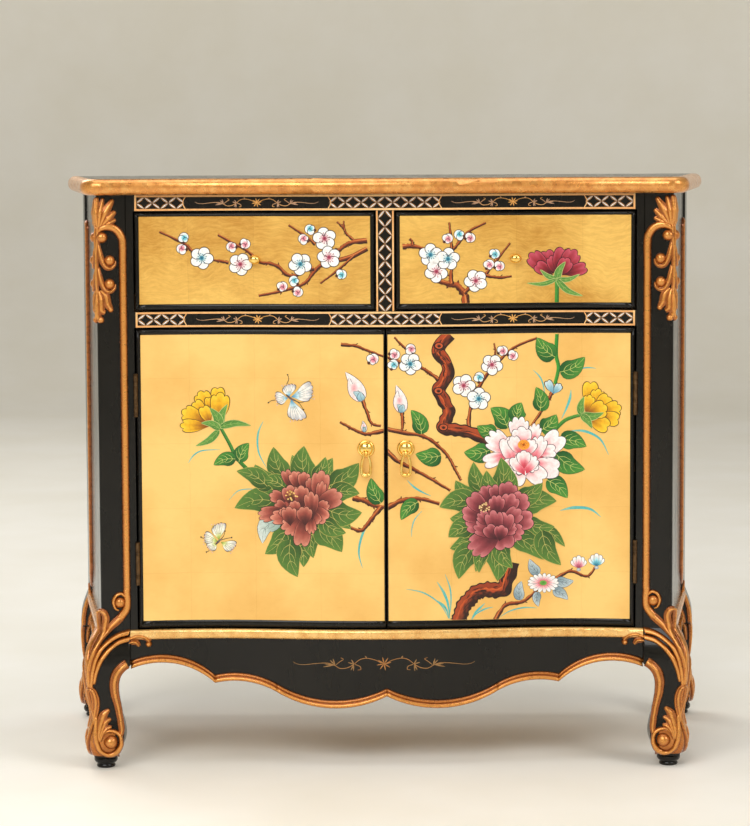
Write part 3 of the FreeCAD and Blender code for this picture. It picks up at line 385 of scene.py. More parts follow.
def dull(name, low, high, scale):
    """A plain material with a speckled surface."""
    made = finish(name, Specular_IOR_Level=0.3)
    speck = grain(made, scale, detail=6.0)
    feed(made, "Base Color", ramp(made, speck, (0.35, srgb(*low)), (0.65, srgb(*high))))
    feed(made, "Roughness", spread(made, speck, 0.42, 0.6))
    raise_bump(made, speck, 0.08, 0.0006)
    return made


pale_wood = boards("inner_wood", (150, 106, 66), (206, 166, 116), 26.0)
stained_wood = boards("stained_back", (24, 19, 16), (50, 41, 34), 70.0)
plastic = dull("catch_plastic", (58, 42, 30), (84, 62, 44), 340.0)
paper = dull("studio_paper", (250, 245, 232), (254, 250, 240), 3.0)
floor.data.materials.append(paper)
print(pale_wood.name, stained_wood.name, plastic.name, paper.name)

# %% Paint
paint = finish("painted_colour", Specular_IOR_Level=0.35, Coat_Weight=0.15, Coat_Roughness=0.3)
colour = node(paint, "Attribute", {}, attribute_name="paint").outputs["Color"]
flecks = grain(paint, 240.0, detail=5.0)
mottle = ramp(paint, flecks, (0.3, srgb(226, 224, 220)), (0.62, srgb(255, 255, 255)))
feed(paint, "Base Color", blend_colours(paint, "MULTIPLY", 0.8, colour, mottle))
feed(paint, "Roughness", spread(paint, grain(paint, 500.0), 0.36, 0.52))
raise_bump(paint, grain(paint, 380.0, (1.0, 1.0, 0.4)), 0.10, 0.0005)
print(len(bpy.data.materials), "materials")

# %% [markdown]
# ## Finishes on the CAD pieces
# The CAD shapes that are already right keep their meshes and only get a finish. A table of what is made of
# what is enough, because everything that it doesn't name is black lacquer.

# %% Dress the CAD nodes
MADE_OF = (
    (pale_gilt, ("front_bead",)),
    (gilt, ("top_edge_moulding", "side_beads", "side_apron_edges", "post_strips", "post_carvings",
            "front_apron_edge")),
    (pale_wood, ("bottom_board", "dust_board", "shelf", "shelf_battens", "drawer_divider", "drawer_guides",
                 "drawer_stops", "drawer_box", "drawer_bottom")),
    (stained_wood, ("back_panel", "back_rail")),
    (door_leaf, ("door_gold_panel",)),
    (drawer_leaf, ("drawer_gold_panel",)),
    (bronze, ("hinge_frame_leaves", "hinge_door_leaves", "hinge_pins")),
    (brass, ("pull_rosette", "pull_drop", "drawer_knob")),
    (steel, ("pull_nut", "knob_nut", "door_strike")),
    (plastic, ("door_catches",)),
)
finish_of = {plain: dressing for dressing, names in MADE_OF for plain in names}
for name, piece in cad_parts.items():
    plain = name.replace("left_", "").replace("right_", "")
    piece.data.materials.clear()
    piece.data.materials.append(finish_of.get(plain, lacquer))
print("dressed", len(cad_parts), "CAD nodes")

# %% [markdown]
# ## The curves that carry everything
# The front is a serpentine of three tangent arcs, so one function gives its depth at any x. A post has
# two flat faces that meet at a rounded corner and swell out over the knee and the toe. Both are written
# here once, and every ornament is laid on them by two coordinates and a height above the surface.

# %% The serpentine front
MM = 0.001
FRONT_Y = -176.79
SWELL_DEPTH, HOLLOW_X, SWELL_R, HOLLOW_R = 16.0, 250.0, 1290.42, 670.70


def front_y(x, out=0.0):
    """The front's y at x, in millimetres, for the curve moved out by so much."""
    x = abs(x)
    if x <= HOLLOW_X * (SWELL_R + out) / (SWELL_R + HOLLOW_R):
        return FRONT_Y + SWELL_R - math.sqrt((SWELL_R + out) ** 2 - x * x)
    hollow = math.sqrt(max(0.0, (HOLLOW_R - out) ** 2 - (x - HOLLOW_X) ** 2))
    return FRONT_Y + SWELL_DEPTH - HOLLOW_R + hollow


def on_front(x, z, h):
    """Lays points on the serpentine front."""
    return Vector((x, front_y(x, h), z)) * MM


print("front at the middle", front_y(0.0), "and at the hollow", round(front_y(HOLLOW_X), 2))

# %% Posts and legs
# The right front post in plan: its sharp corner, and which way its front face and its side run and look.
ARRIS = Vector((410.83, -178.99, 0.0))
ALONG, BACKWARD = Vector((0.9841, -0.1779, 0.0)), Vector((0.1633, 0.9866, 0.0))
FACE_OUT, SIDE_OUT = Vector((ALONG.y, -ALONG.x, 0.0)), Vector((BACKWARD.y, -BACKWARD.x, 0.0))
CASE_BACK_Y, REAR_POST_DEPTH = 190.0, 48.0
# A leg swells less to the front than to the side, and a rear leg less than a front one.
FRONT_SWELL, REAR_SWELL = 0.7, 0.6
# How far the leg stands out from the post at each height, from the pad up to the top of the knee.
LEG_SWELL = (
    (16, 12.2), (23.4, 15.2), (30.8, 17.7), (40.9, 18.6), (51, 17.1), (62, 14.3), (73.2, 12), (84.3, 13),
    (96.3, 15), (110, 17.5), (125.8, 19.5), (143, 20), (160.8, 19), (174.7, 15.5), (187.6, 8.5), (200.5, 0),
)
# How far a leg reaches back at each height.
LEG_DEPTH = (
    (16, 30), (30.8, 35), (40.9, 36), (51, 35), (62, 33), (73.2, 30), (84.3, 27), (96.3, 25), (110, 23),
    (125.8, 22.5), (136, 25), (143, 31), (150.7, 42.2),
)


def run_through(rows, z):
    """The value at a height, from rows of height and value."""
    for (z_low, low), (z_high, high) in zip(rows, rows[1:]):
        if z <= z_high:
            return low + (high - low) * max(0.0, (z - z_low) / (z_high - z_low))
    return rows[-1][1]


def swell(z):
    """How far the leg stands out from the post at a height."""
    return run_through(LEG_SWELL, z)


def corner(z):
    """The right front post's sharp outer corner at a height."""
    out = swell(z)
    forward, sideways = FACE_OUT * out * FRONT_SWELL, SIDE_OUT * out
    gap = sideways - forward
    cross = ALONG.x * BACKWARD.y - ALONG.y * BACKWARD.x
    return ARRIS + forward + ALONG * ((gap.x * BACKWARD.y - gap.y * BACKWARD.x) / cross)


def rear_corner(z):
    """The right rear post's front outer corner at a height."""
    y = CASE_BACK_Y - run_through(LEG_DEPTH, z) * REAR_POST_DEPTH / LEG_DEPTH[-1][1]
    x = ARRIS.x + (y - ARRIS.y) * BACKWARD.x / BACKWARD.y + swell(z) * REAR_SWELL
    return Vector((x, y, 0.0))


print("the front corner stands at x", round(corner(LEG_SWELL[-1][0]).x, 1), "mm over the knee")

# %% Laying points on the posts and sides
CORNER_R = 6.0
# Where the right side panel meets the rear post.
PANEL_END = Vector((460.93, 142.0, 0.0))


def post_faces(edge, along, face_out):
    """Lays points on a post: s runs from its corner, minus along the front face and plus along the side."""

    def lay(s, z, h):
        if s <= -CORNER_R:
            spot, out = along * s, face_out
        elif s >= CORNER_R:
            spot, out = BACKWARD * s, SIDE_OUT
        else:
            t = (s + CORNER_R) / (2 * CORNER_R)
            spot = along * (-CORNER_R * (1 - t) ** 2) + BACKWARD * (CORNER_R * t * t)
            out = (face_out * (1 - t) + SIDE_OUT * t).normalized()
        spot = edge(z) + spot + out * h
        return Vector((spot.x, spot.y, z)) * MM

    return lay


on_post = post_faces(corner, ALONG, FACE_OUT)
on_rear_post = post_faces(rear_corner, Vector((1.0, 0.0, 0.0)), Vector((0.0, -1.0, 0.0)))


def on_side_panel(s, z, h):
    """Lays points on the right side panel: s runs forwards from the rear post."""
    spot = PANEL_END - BACKWARD * s + SIDE_OUT * h
    return Vector((spot.x, spot.y, z)) * MM


print("the side panel ends at", on_side_panel(0.0, 0.0, 0.0))

# %% From a pixel to a place
PANEL_OUT = 1.0
EYE_MM = EYE * 1000
FRONT_END_X = 420.0


def at_depth(ray, y):
    """Where a line of sight reaches a depth y, in millimetres."""
    return EYE_MM + ray * ((y - EYE_MM.y) / ray.y)


def front_spot(px, py):
    """Where a pixel of the photograph meets the serpentine front: x and z in millimetres."""
    ray, y = sight(px, py), FRONT_Y
    for _ in range(3):
        spot = at_depth(ray, y)
        y = front_y(min(abs(spot.x), FRONT_END_X), PANEL_OUT)
    return spot.x, spot.z


def post_spot(px, py):
    """Where a pixel of the photograph meets the left post's front face: s and z in millimetres."""
    ray, y = sight(px, py), ARRIS.y
    for _ in range(6):
        spot = at_depth(ray, y)
        edge = corner(spot.z)
        s = (-spot.x - edge.x) / ALONG.x
        y = edge.y + ALONG.y * s
    return s, spot.z


def spots(*pixels):
    """Places on the post's front face, from pixels of the photograph's left post."""
    return [post_spot(*p) for p in pixels]


print("the picture's middle meets the front at", front_spot(PHOTO_W / 2, PHOTO_H / 2))

# %% Lines and levels


def bend(points, u):
    """A point on the smooth line through points, at a share u of its run."""
    last = len(points) - 1
    i = min(int(u * last), last - 1)
    t = u * last - i
    a, b, c, d = (points[max(0, min(last, k))] for k in (i - 1, i, i + 1, i + 2))
    place = []
    for p, q, r, w in zip(a, b, c, d):
        place.append(0.5 * (2 * q + (r - p) * t + (2 * p - 5 * q + 4 * r - w) * t * t
                            + (3 * q - p - 3 * r + w) * t ** 3))
    return tuple(place)


def heading(points, u):
    """The direction of that line, as a unit vector in two numbers."""
    a, b = bend(points, max(0.0, u - 0.01)), bend(points, min(1.0, u + 0.01))
    length = math.hypot(b[0] - a[0], b[1] - a[1]) or 1.0
    return (b[0] - a[0]) / length, (b[1] - a[1]) / length


def level(values, u):
    """A value that runs evenly through a row of values."""
    last = len(values) - 1
    i = min(int(u * last), last - 1) if last else 0
    return values[i] if not last else values[i] + (values[i + 1] - values[i]) * (u * last - i)


print("half way from 2 to 6 is", level((2.0, 6.0), 0.5))

# %% [markdown]
# ## Carving
# Carved ornament of this kind is a bundle of reeds: each is a rounded ridge that follows a curve, swells
# and tapers, and dies into the ground. A grid is laid along the curve and its points are lifted by a
# section, so a reed can have one crest or several with grooves between. Its two long sides are then bridged
# underneath and its ends capped. Each point also keeps how high it stands, which the gilding uses to stay
# dark in the grooves, partly as painted shade, and pale on the crests as painted highlight.

# %% Closing a piece


def open_edges(verts):
    """The edges at these points that have a face on one side only."""
    return [e for e in {e for v in verts for e in v.link_edges} if e.is_boundary]


def turn_outwards(bm, verts):
    """Turns the faces at these points outwards."""
    bmesh.ops.recalc_face_normals(bm, faces=list({f for v in verts for f in v.link_faces}))


def cap(bm, verts):
    """Fills the holes round these points and turns the faces outwards."""
    bmesh.ops.holes_fill(bm, edges=open_edges(verts), sides=0)
    turn_outwards(bm, verts)


print("helpers for closed pieces ready")

# %% Reeds and eyes
SINK, END_SINK = 2.5, 2.0
FULLNESS = 1.3


class Carving:
    """Carved work on the cabinet's right half, which is mirrored to the left one when it is finished."""

    def __init__(self, lay):
        self.bm = bmesh.new()
        self.relief = self.bm.verts.layers.float.new("relief")
        self.lay = lay

    def ground(self, rows, across):
        """A flat grid, and the points of its two long sides."""
        made = bmesh.ops.create_grid(self.bm, x_segments=rows, y_segments=across, size=1.0)["verts"]
        return made, [{v for v in made if v.co.y * way > 0.999} for way in (-1, 1)]

    def close(self, verts, sides):
        """Bridges the underside from one long side to the other and caps the ends."""
        long_edges = [e for e in open_edges(verts) if any(side.issuperset(e.verts) for side in sides)]
        bmesh.ops.bridge_loops(self.bm, edges=long_edges)
        cap(self.bm, verts)

    def reed(self, path, widths, heights, rows, ribs=1, across=12, turn=1):
        """A ridge along a path of (s, z) points in millimetres."""
        made, sides = self.ground(rows, across)
        for v in made:
            u, w = (v.co.x + 1) / 2, v.co.y
            (s, z), (ds, dz) = bend(path, u), heading(path, u)
            half, high = level(widths, u) * FULLNESS / 2, level(heights, u)
            ridge = abs(math.cos(math.pi * (ribs * (w + 1) + ribs % 2) / 2))
            crest = (1 - abs(w) ** 3.6) * (0.56 + 0.44 * ridge)
            if abs(w) > 0.99:
                h = -SINK
            elif u < 0.001 or u > 0.999:
                h = -END_SINK
            else:
                h = high * crest
            # How high the point stands: the gilding paints it darker in the grooves, partly as painted shade,
            # and paler on the crests as painted highlight.
            v[self.relief] = max(0.0, crest) * min(1.0, 0.4 + high / 5.0)
            v.co = self.lay(turn * (s - dz * half * w), z + ds * half * w, h)
        self.close(made, sides)

    def eye(self, spot, radius, height, turn=1):
        """A domed scroll eye."""
        made = bmesh.ops.create_uvsphere(self.bm, u_segments=22, v_segments=14, radius=1.0)["verts"]
        for v in made:
            x, y, up = v.co
            # Paler towards the top of the dome, as painted highlight through the gilding's relief tones.
            v[self.relief] = 0.25 + 0.7 * max(0.0, up)
            h = height * up if up > 0 else SINK * up
            v.co = self.lay(turn * (spot[0] + radius * x), spot[1] + radius * y, h)
        turn_outwards(self.bm, made)

    def done(self, name):
        """The finished piece, with its twin on the cabinet's other side."""
        geometry = self.bm.verts[:] + self.bm.edges[:] + self.bm.faces[:]
        bmesh.ops.mirror(self.bm, geom=geometry, axis="X", merge_dist=-1.0)
        bmesh.ops.recalc_face_normals(self.bm, faces=self.bm.faces[:])
        piece = smooth_object(name, self.bm, carved_gilt)
        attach(piece, "case")
        print(name, len(piece.data.polygons), "faces")
        return piece


print("carving is set", SINK, "mm into its ground")

# %% [markdown]
# ## The head of the post
# At the head of each front post an acanthus leaf fans out, and below it a stem drops three scrolls with
# ball eyes and ends in a hanging leaf. The strip on the post bends over at its head and runs in to the
# first scroll. The same drop is cut on the side of the post, so each reed is laid twice, once with s
# turned round the corner. The side panel has a strip of its own near the rear post, which opens into a
# leaf at its foot.

# %% Post heads
# Rows of pixels, widths and height for the leaf that fans out.
FAN = (
    (((97.5, 229), (96.4, 214), (97.0, 196.5)), (5, 10, 4), 6.5),
    (((98.5, 229), (99.8, 213), (102.8, 197.5)), (4, 11, 3.5), 6.0),
    (((99.5, 228), (104.8, 213), (113.2, 199)), (4, 14, 4), 6.5),
    (((100, 228.5), (108, 218.5), (115.5, 211)), (4, 12, 4), 5.5),
    (((100.5, 229), (109, 223), (116, 219.5)), (4, 9, 3.5), 5.0),
)
DROP_STEM = ((97, 226), (97.6, 238), (96.6, 252), (96.4, 268), (96.6, 284), (98, 293))
SCROLL = ((98.2, 243), (99.6, 252), (102.3, 261.5), (106, 267.3), (110.6, 268.2), (114.4, 265),
          (115.2, 260.5))
SCROLL_W, SCROLL_HIGH = (3.5, 6.5, 8, 7, 5.5, 4.5, 2.5), (2, 5, 6, 6, 5.5, 5, 3)
SCROLL_EYE, SCROLL_STEP = (109.4, 260.6), 23.4
# Rows of pixels and widths for the hanging leaf.
HANGING_LEAF = (
    (((100, 290), (105.5, 296), (107.5, 304), (111.5, 310.5)), (4, 11, 11, 6)),
    (((98.5, 290), (101, 300), (101.5, 310), (105.5, 313)), (4, 10, 10, 6)),
    (((97, 290), (96.8, 303), (97, 313), (100, 321.5)), (4, 10, 11, 8)),
)
# Rows of pixel, radius and height for the other ball eyes.
HEAD_EYES = (((101.8, 237.6), 8.2, 8.6), ((100.8, 320), 5.2, 6.0), ((110.6, 309.6), 4.4, 5.0))

head = Carving(on_post)
for turn in (1, -1):
    for pixels, widths, height in FAN:
        head.reed(spots(*pixels), widths, (2, height, 2), rows=20, ribs=2, turn=turn)
    head.reed(spots(*DROP_STEM), (5, 7, 6, 6, 6, 4), (3, 5, 5, 5, 5, 2), rows=36, ribs=2, turn=turn)
    for down in (0.0, SCROLL_STEP):
        path = spots(*((x, y + down) for x, y in SCROLL))
        head.reed(path, SCROLL_W, SCROLL_HIGH, rows=36, ribs=2, turn=turn)
        head.eye(post_spot(SCROLL_EYE[0], SCROLL_EYE[1] + down), 8.0, 8.6, turn)
    for pixels, widths in HANGING_LEAF:
        head.reed(spots(*pixels), widths, (2, 5.5, 6, 4), rows=22, ribs=2, turn=turn)
    for pixel, radius, height in HEAD_EYES:
        head.eye(post_spot(*pixel), radius, height, turn)
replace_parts(head.done("post_head_carvings"), "post_carvings")

# %% Strips on the posts and the sides
STRIP_IN = 37.2
STRIP_HEIGHTS = (720, 640, 560, 480, 400, 320)
STRIP_TOP = ((98.2, 232.5), (100.5, 229.2), (105, 227.2), (110.5, 227.2), (116.2, 230), (120.4, 235.5),
             (122.4, 243))
STRIP_FOOT = ((126.4, 590), (127.2, 601), (125.8, 610), (119, 619))
FRONT_STRIP_W = (3, 8, 10, 11, 11, 11, 10.5) + (10,) * 9 + (11, 11)
FRONT_STRIP_HIGH = (2, 4.5, 5.5, 5.5) + (5.0,) * 14
FOOT_EYE = (119.8, 602.4)
FOOT_CURL = ((125.5, 597), (121, 593.6), (115.6, 596), (113.3, 602), (115.5, 608.5), (119.5, 610.5))
# The strip on the side panel is laid out in millimetres from the rear post.
SIDE_STRIP_TOP = [(21.2, 781), (29, 779), (35, 773.5), (37.2, 765)]
SIDE_STRIP_FOOT = [(37.6, 254), (33, 238), (22, 224), (8, 213)]
SIDE_STRIP_W = (6, 9) + (10,) * 9 + (14, 11, 7, 4)
SIDE_STRIP_HIGH = (3,) + (5,) * 12 + (4, 2)

strip = Carving(on_post)
run = spots(*STRIP_TOP) + [(-STRIP_IN, z) for z in (*STRIP_HEIGHTS, 262)] + spots(*STRIP_FOOT)
strip.reed(run, FRONT_STRIP_W, FRONT_STRIP_HIGH, rows=150, across=8)
strip.eye(post_spot(*FOOT_EYE), 8.2, 8.0)
strip.reed(spots(*FOOT_CURL), (4, 5, 5, 5, 4, 2), (4, 5, 5, 5, 4, 2), rows=26)
strip.lay = on_side_panel
run = SIDE_STRIP_TOP + [(STRIP_IN, z) for z in (*STRIP_HEIGHTS, 270)] + SIDE_STRIP_FOOT
strip.reed(run, SIDE_STRIP_W, SIDE_STRIP_HIGH, rows=140, across=8)
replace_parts(strip.done("post_strips_reeded"), "post_strips")

# %% [markdown]
# ## Knee, leg and toe
# The strip, the bead over the apron and a curled leaf all run together at the knee and go down the outer
# edge of the leg as one sheaf of reeds. A second leaf starts at the ankle, a strip follows the inner edge,
# and the toe is a scroll with a large domed eye and a small acanthus sprig above it.

# %% Knees
# Rows of pixels, widths, heights, ribs, rows of the grid and points across it.
SHEAF = (
    (((121.5, 616.5), (116.7, 621), (109, 628.5), (101.5, 638), (95.5, 648), (91, 659), (88.6, 671),
      (88.6, 684), (90, 696)),
     (10, 11, 9.5, 8.5, 7.5, 7, 6.5, 6, 5), (5, 5.5, 6, 6, 6, 6, 5.5, 4.5, 2), 2, 48, 12),
    (((97.2, 616.5), (99.2, 611.6), (103.6, 612), (106, 618), (104.6, 628), (99.8, 640), (94, 653),
      (90.2, 668), (89, 682)),
     (3, 6, 8, 9.5, 9, 7, 5, 4, 3), (3, 6, 8, 7, 6, 5.5, 5, 4, 2), 2, 48, 12),
    (((129.8, 632.2), (120, 634.6), (111, 639.6), (102.3, 647.5), (96.3, 657.5), (93, 669.5), (91.4, 684),
      (91.6, 696)),
     (8.5, 8.5, 8.5, 8, 7, 6, 5, 4.5), (6, 6, 6, 6, 5.5, 5, 4, 2), 1, 44, 12),
    (((130, 638.8), (120, 641.6), (112.6, 646.4), (105.3, 654), (99.4, 663), (95.8, 673), (93.6, 685)),
     (7, 8, 8, 8, 7.5, 6.5, 4.5), (4.5, 5.5, 6, 6, 5.5, 5, 2), 1, 44, 12),
    (((87.6, 691), (90, 688.8), (93.2, 691.5), (95.4, 698.5), (95.8, 706.5), (94.8, 716), (93.6, 726)),
     (3, 6, 9, 11, 10, 8, 5), (3, 5.5, 6, 5.5, 5, 4.5, 2), 3, 34, 18),
    (((127.2, 663.6), (121.5, 667.6), (116.2, 674.5), (114, 684), (115, 695), (117.8, 706), (120.2, 718),
      (121.6, 730), (120.6, 738)),
     (12, 12.5, 12.5, 12, 11, 9.5, 8.5, 7.5, 5), (5, 7, 7, 7, 6.5, 6, 5.5, 5, 2), 2, 56, 16),
)
# The rear knee is laid out in millimetres: a rib down its front corner, then two leaves on its side.
REAR_RIB = ((6, 216), (2, 204), (0, 186), (0, 164), (0, 142), (1, 120), (2, 102), (3, 84))
REAR_LEAVES = (
    (((40, 212), (33, 200), (24, 182), (16, 160), (10, 138), (7, 116)),
     (3, 7, 8, 7, 6, 3), (2, 3, 4, 4, 3, 1.5)),
    (((24, 230), (20, 222), (22, 208), (18, 186), (12, 162), (8, 140)),
     (3, 6, 8, 7, 6, 3), (2, 4, 5, 4, 3, 1.5)),
)


def carve_knee(leg, turn):
    """One half of a front leg's sheaf, on the front face or, turned round the corner, on the side."""
    for pixels, widths, heights, ribs, rows, across in SHEAF:
        leg.reed(spots(*pixels), widths, heights, rows, ribs=ribs, across=across, turn=turn)


def carve_rear_knee(leg):
    """The plainer knee of a rear leg."""
    leg.reed(REAR_RIB, (4, 7, 9, 9, 8, 7, 6, 3), (2, 3, 4, 4, 4, 3.5, 3, 1.5), rows=48, ribs=2)
    for path, widths, heights in REAR_LEAVES:
        leg.reed(path, widths, heights, rows=36, ribs=2, turn=-1)


print(len(SHEAF), "reeds in a sheaf")

# %% Toes
# Rows of pixels and widths for the sprig.
SPRIG = (
    (((98.5, 742), (99.5, 728), (103, 716), (109.6, 709)), (6, 12, 12, 3)),
    (((99, 742), (102, 730), (105.5, 722), (111.4, 718.5)), (6, 10, 10, 3)),
    (((100, 742), (103, 733), (107, 728), (112, 727)), (4, 8, 8, 3)),
)
TOE_SCROLL = ((95.6, 716), (95.4, 730), (96.6, 743), (101, 751.5), (108.5, 755), (116.5, 752), (121, 744.5),
              (120.2, 736), (114.5, 731.2), (107.5, 731), (103.4, 735))
TOE_SCROLL_W = (4, 6, 8, 8, 7.5, 7.5, 7, 6, 5, 4, 2.5)
TOE_SCROLL_HIGH = (3, 5, 6, 6.5, 6.5, 6.5, 6, 5.5, 5, 4, 2)
TOE_EYE, TOE_EYE_R = (110.6, 742), 10.4
TOE_LOW, TOE_REACH, TOE_SKIN = 17.0, 36.0, 1.2


def carve_toe(leg, turn, eye_high):
    """One half of a toe: a sprig, the scroll round it and the domed eye."""
    for pixels, widths in SPRIG:
        leg.reed(spots(*pixels), widths, (3, 5, 5, 2), rows=24, ribs=2, turn=turn)
    leg.reed(spots(*TOE_SCROLL), TOE_SCROLL_W, TOE_SCROLL_HIGH, rows=60, turn=turn)
    leg.eye(post_spot(*TOE_EYE), TOE_EYE_R, eye_high, turn)


def toe_cap(leg, high):
    """A skin of gilding over the swelling outer side of the toe, highest at its corner."""
    made, sides = leg.ground(40, 14)
    for v in made:
        u, w = (v.co.x + 1) / 2, (v.co.y + 1) / 2
        s = (2 * u - 1) * TOE_REACH
        edge = u < 0.001 or u > 0.999 or w < 0.001 or w > 0.999
        tall = (high - TOE_LOW) * (0.62 + 0.38 * math.exp(-(s / 9.0) ** 2))
        # A set relief value, highest halfway up the cap, so the gilding paints a highlight band along its
        # middle.
        v[leg.relief] = 0.62 + 0.2 * math.sin(w * math.pi)
        v.co = leg.lay(s, TOE_LOW + tall * w, -SINK if edge else TOE_SKIN)
    leg.close(made, sides)


print("the toe's scroll has", len(TOE_SCROLL), "points")

# %% Legs
FRONT_TOE_HIGH, REAR_TOE_HIGH = 84.0, 66.0
BOLD_EYE, LOW_EYE = 9.5, 4.0

front_leg = Carving(on_post)
for turn, eye_high in ((1, BOLD_EYE), (-1, LOW_EYE)):
    carve_knee(front_leg, turn)
    carve_toe(front_leg, turn, eye_high)
toe_cap(front_leg, FRONT_TOE_HIGH)
front_leg.done("front_leg_carvings")

rear_leg = Carving(on_rear_post)
carve_rear_knee(rear_leg)
for turn in (1, -1):
    carve_toe(rear_leg, turn, LOW_EYE)
toe_cap(rear_leg, REAR_TOE_HIGH)
rear_leg.done("rear_leg_carvings")

# %% Curled leaves under the bead
# Rows of pixels and widths.
CURLED_LEAVES = (
    (((128, 639.4), (133, 637), (138, 635.7), (145.5, 637), (150.4, 641.8)), (5, 9, 10, 8, 5)),
    (((129, 642.6), (132.4, 641.6), (136.7, 642), (139.8, 646)), (4, 8, 8, 4)),
)
CURL_EYE = (148.9, 643.8)

curl = Carving(on_front)
for pixels, widths in CURLED_LEAVES:
    curl.reed([front_spot(*p) for p in pixels], widths, (8, 10, 10, 8), rows=26, ribs=2)
curl.eye(front_spot(*CURL_EYE), 4.8, 9.0)
curl.done("apron_leaves")

# %% [markdown]
# ## Mouldings
# The apron's lower edge carries a gilded moulding with a fat bead below and a thin one above. Its path is
# a chain of arcs, each known by its two ends and its sag. A grid along each arc is rolled up into a tube
# with that section, so that the underside is closed too, and the tube's ends are capped. The black rims
# round the gold panels are made in the same way, as four mitred strips.

# %% Sections along a run


def arc_point(start, end, sag, u):
    """A point on the arc between two places that rises by sag at its middle."""
    dx, dz = end[0] - start[0], end[1] - start[1]
    chord = math.hypot(dx, dz)
    radius = (chord * chord / 4 + sag * sag) / (2 * abs(sag))
    half = math.asin(min(1.0, chord / (2 * radius)))
    angle = (2 * u - 1) * half
    along = radius * math.sin(angle) + chord / 2
    rise = math.copysign(radius * (math.cos(angle) - math.cos(half)), sag)
    side = (-dz / chord, dx / chord) if dx > 0 else (dz / chord, -dx / chord)
    return start[0] + dx / chord * along + side[0] * rise, start[1] + dz / chord * along + side[1] * rise


def weld(bm, verts):
    """Merges points that lie on one another and gives back those that are left."""
    bmesh.ops.remove_doubles(bm, verts=verts, dist=1e-6)
    return [v for v in verts if v.is_valid]


def section_run(bm, relief, rows, section, place):
    """A tube along a run, with one line of points for each place of a section and capped ends."""
    made = bmesh.ops.create_grid(bm, x_segments=rows, y_segments=len(section), size=1.0)["verts"]
    top = max(h for _, h in section)
    for v in made:
        u, k = (v.co.x + 1) / 2, round((v.co.y + 1) / 2 * len(section))
        across, h = section[k % len(section)]
        v.co = place(u, across, h) * MM
        # How far the point stands out: on gilding, darker low down, partly as painted shade, and paler on the
        # crest as painted highlight.
        v[relief] = max(0.0, h) / top
    cap(bm, weld(bm, made))


print("a quarter along a flat arch:", arc_point((0.0, 0.0), (100.0, 0.0), 10.0, 0.25))

# %% The apron's edge
# Each arc's two ends and its sag, from the knee to the middle.
SCALLOPS = (
    ((369.3, 144.0), (249.0, 120.5), 17.5), ((249.0, 120.5), (160.0, 108.5), 8.2),
    ((160.0, 108.5), (0.0, 103.0), -20.5),
)
# Places across the edge, as a share of its height, and how far each stands out.
EDGE_SECTION = (
    (0.0, -6.0), (0.0, 2.0), (0.06, 4.4), (0.2, 5.8), (0.36, 5.9), (0.48, 4.8), (0.55, 3.2), (0.6, 2.9),
    (0.66, 3.9), (0.76, 4.8), (0.88, 4.4), (0.97, 2.6), (1.0, 0.5), (1.0, -2.0),
)
EDGE_HIGH = 12.0


def apron_edge():
    """The moulding along the front apron's lower edge, on both halves."""
    bm = bmesh.new()
    relief = bm.verts.layers.float.new("relief")
    for side in (1, -1):
        for start, end, sag in SCALLOPS:
            def place(u, across, h):
                x, z = arc_point(start, end, sag, u)
                return Vector((side * x, front_y(x, h), z + across * EDGE_HIGH))
            section_run(bm, relief, 24, EDGE_SECTION, place)
    piece = smooth_object("apron_edge_moulded", bm, carved_gilt)
    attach(piece, "case")
    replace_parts(piece, "front_apron_edge")
    print(piece.name, len(piece.data.polygons), "faces")


apron_edge()

# %% Black rims of the fronts
RIM_SECTION = (
    (0.0, -1.0), (0.0, 0.4), (0.1, 1.6), (0.3, 2.5), (0.55, 2.6), (0.78, 2.1), (0.92, 1.5), (1.0, 0.9),
    (1.0, -0.5),
)
# Outer and inner limits of a rim on the right half: x from and to, z from and to.
RIMS = {
    "drawer": ((15.8, 356.6, 662.8, 800.8), (21.3, 351.1, 670.8, 795.8)),
    "door": ((1.4, 356.0, 203.4, 634.2), (3.0, 350.6, 213.3, 626.7)),
}


def rim(name, body, outer, inner):
    """Four mitred strips between an outer and an inner rectangle, each given as x and z limits."""
    bm = bmesh.new()
    relief = bm.verts.layers.float.new("relief")
    corners = []
    for x0, x1, z0, z1 in (outer, inner):
        corners.append([(x0, z0), (x1, z0), (x1, z1), (x0, z1)])
    for k in range(4):
        ends = [(ring[k], ring[(k + 1) % 4]) for ring in corners]

        def place(u, across, h):
            (a, b), (c, d) = ends
            far = [a[i] + (b[i] - a[i]) * u for i in (0, 1)]
            near = [c[i] + (d[i] - c[i]) * u for i in (0, 1)]
            x, z = (far[i] + (near[i] - far[i]) * across for i in (0, 1))
            return Vector((x, front_y(x, h), z))

        section_run(bm, relief, 30, RIM_SECTION, place)
    piece = smooth_object(name, bm, lacquer)
    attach(piece, body)
    return piece


for side, way in (("right", 1), ("left", -1)):
    for kind, limits in RIMS.items():
        rim(f"{side}_{kind}_rim", f"{side}_{kind}", *((way * a, way * b, c, d) for a, b, c, d in limits))
print("rims on both doors and both drawers")

# %% [markdown]
# ## Turned and bent work
# Feet, pull rosettes and knob collars are turned: a profile is drawn once and spun round its axis. The
# drop of a pull is a bent bar, so a ring of points is carried along its path.

# %% Feet
SPIN_STEPS = 40
PAD = (
    (0, 0), (11.4, 0), (13.0, 0.8), (13.6, 2.6), (12.9, 4.4), (12.2, 5.0), (12.4, 5.8), (15.2, 7.6),
    (16.8, 10.2), (16.9, 12.8), (16.0, 15.2), (14.5, 16.0), (0, 16.0),
)
FRONT_PAD_X, PAD_R = 407.8, 17.0


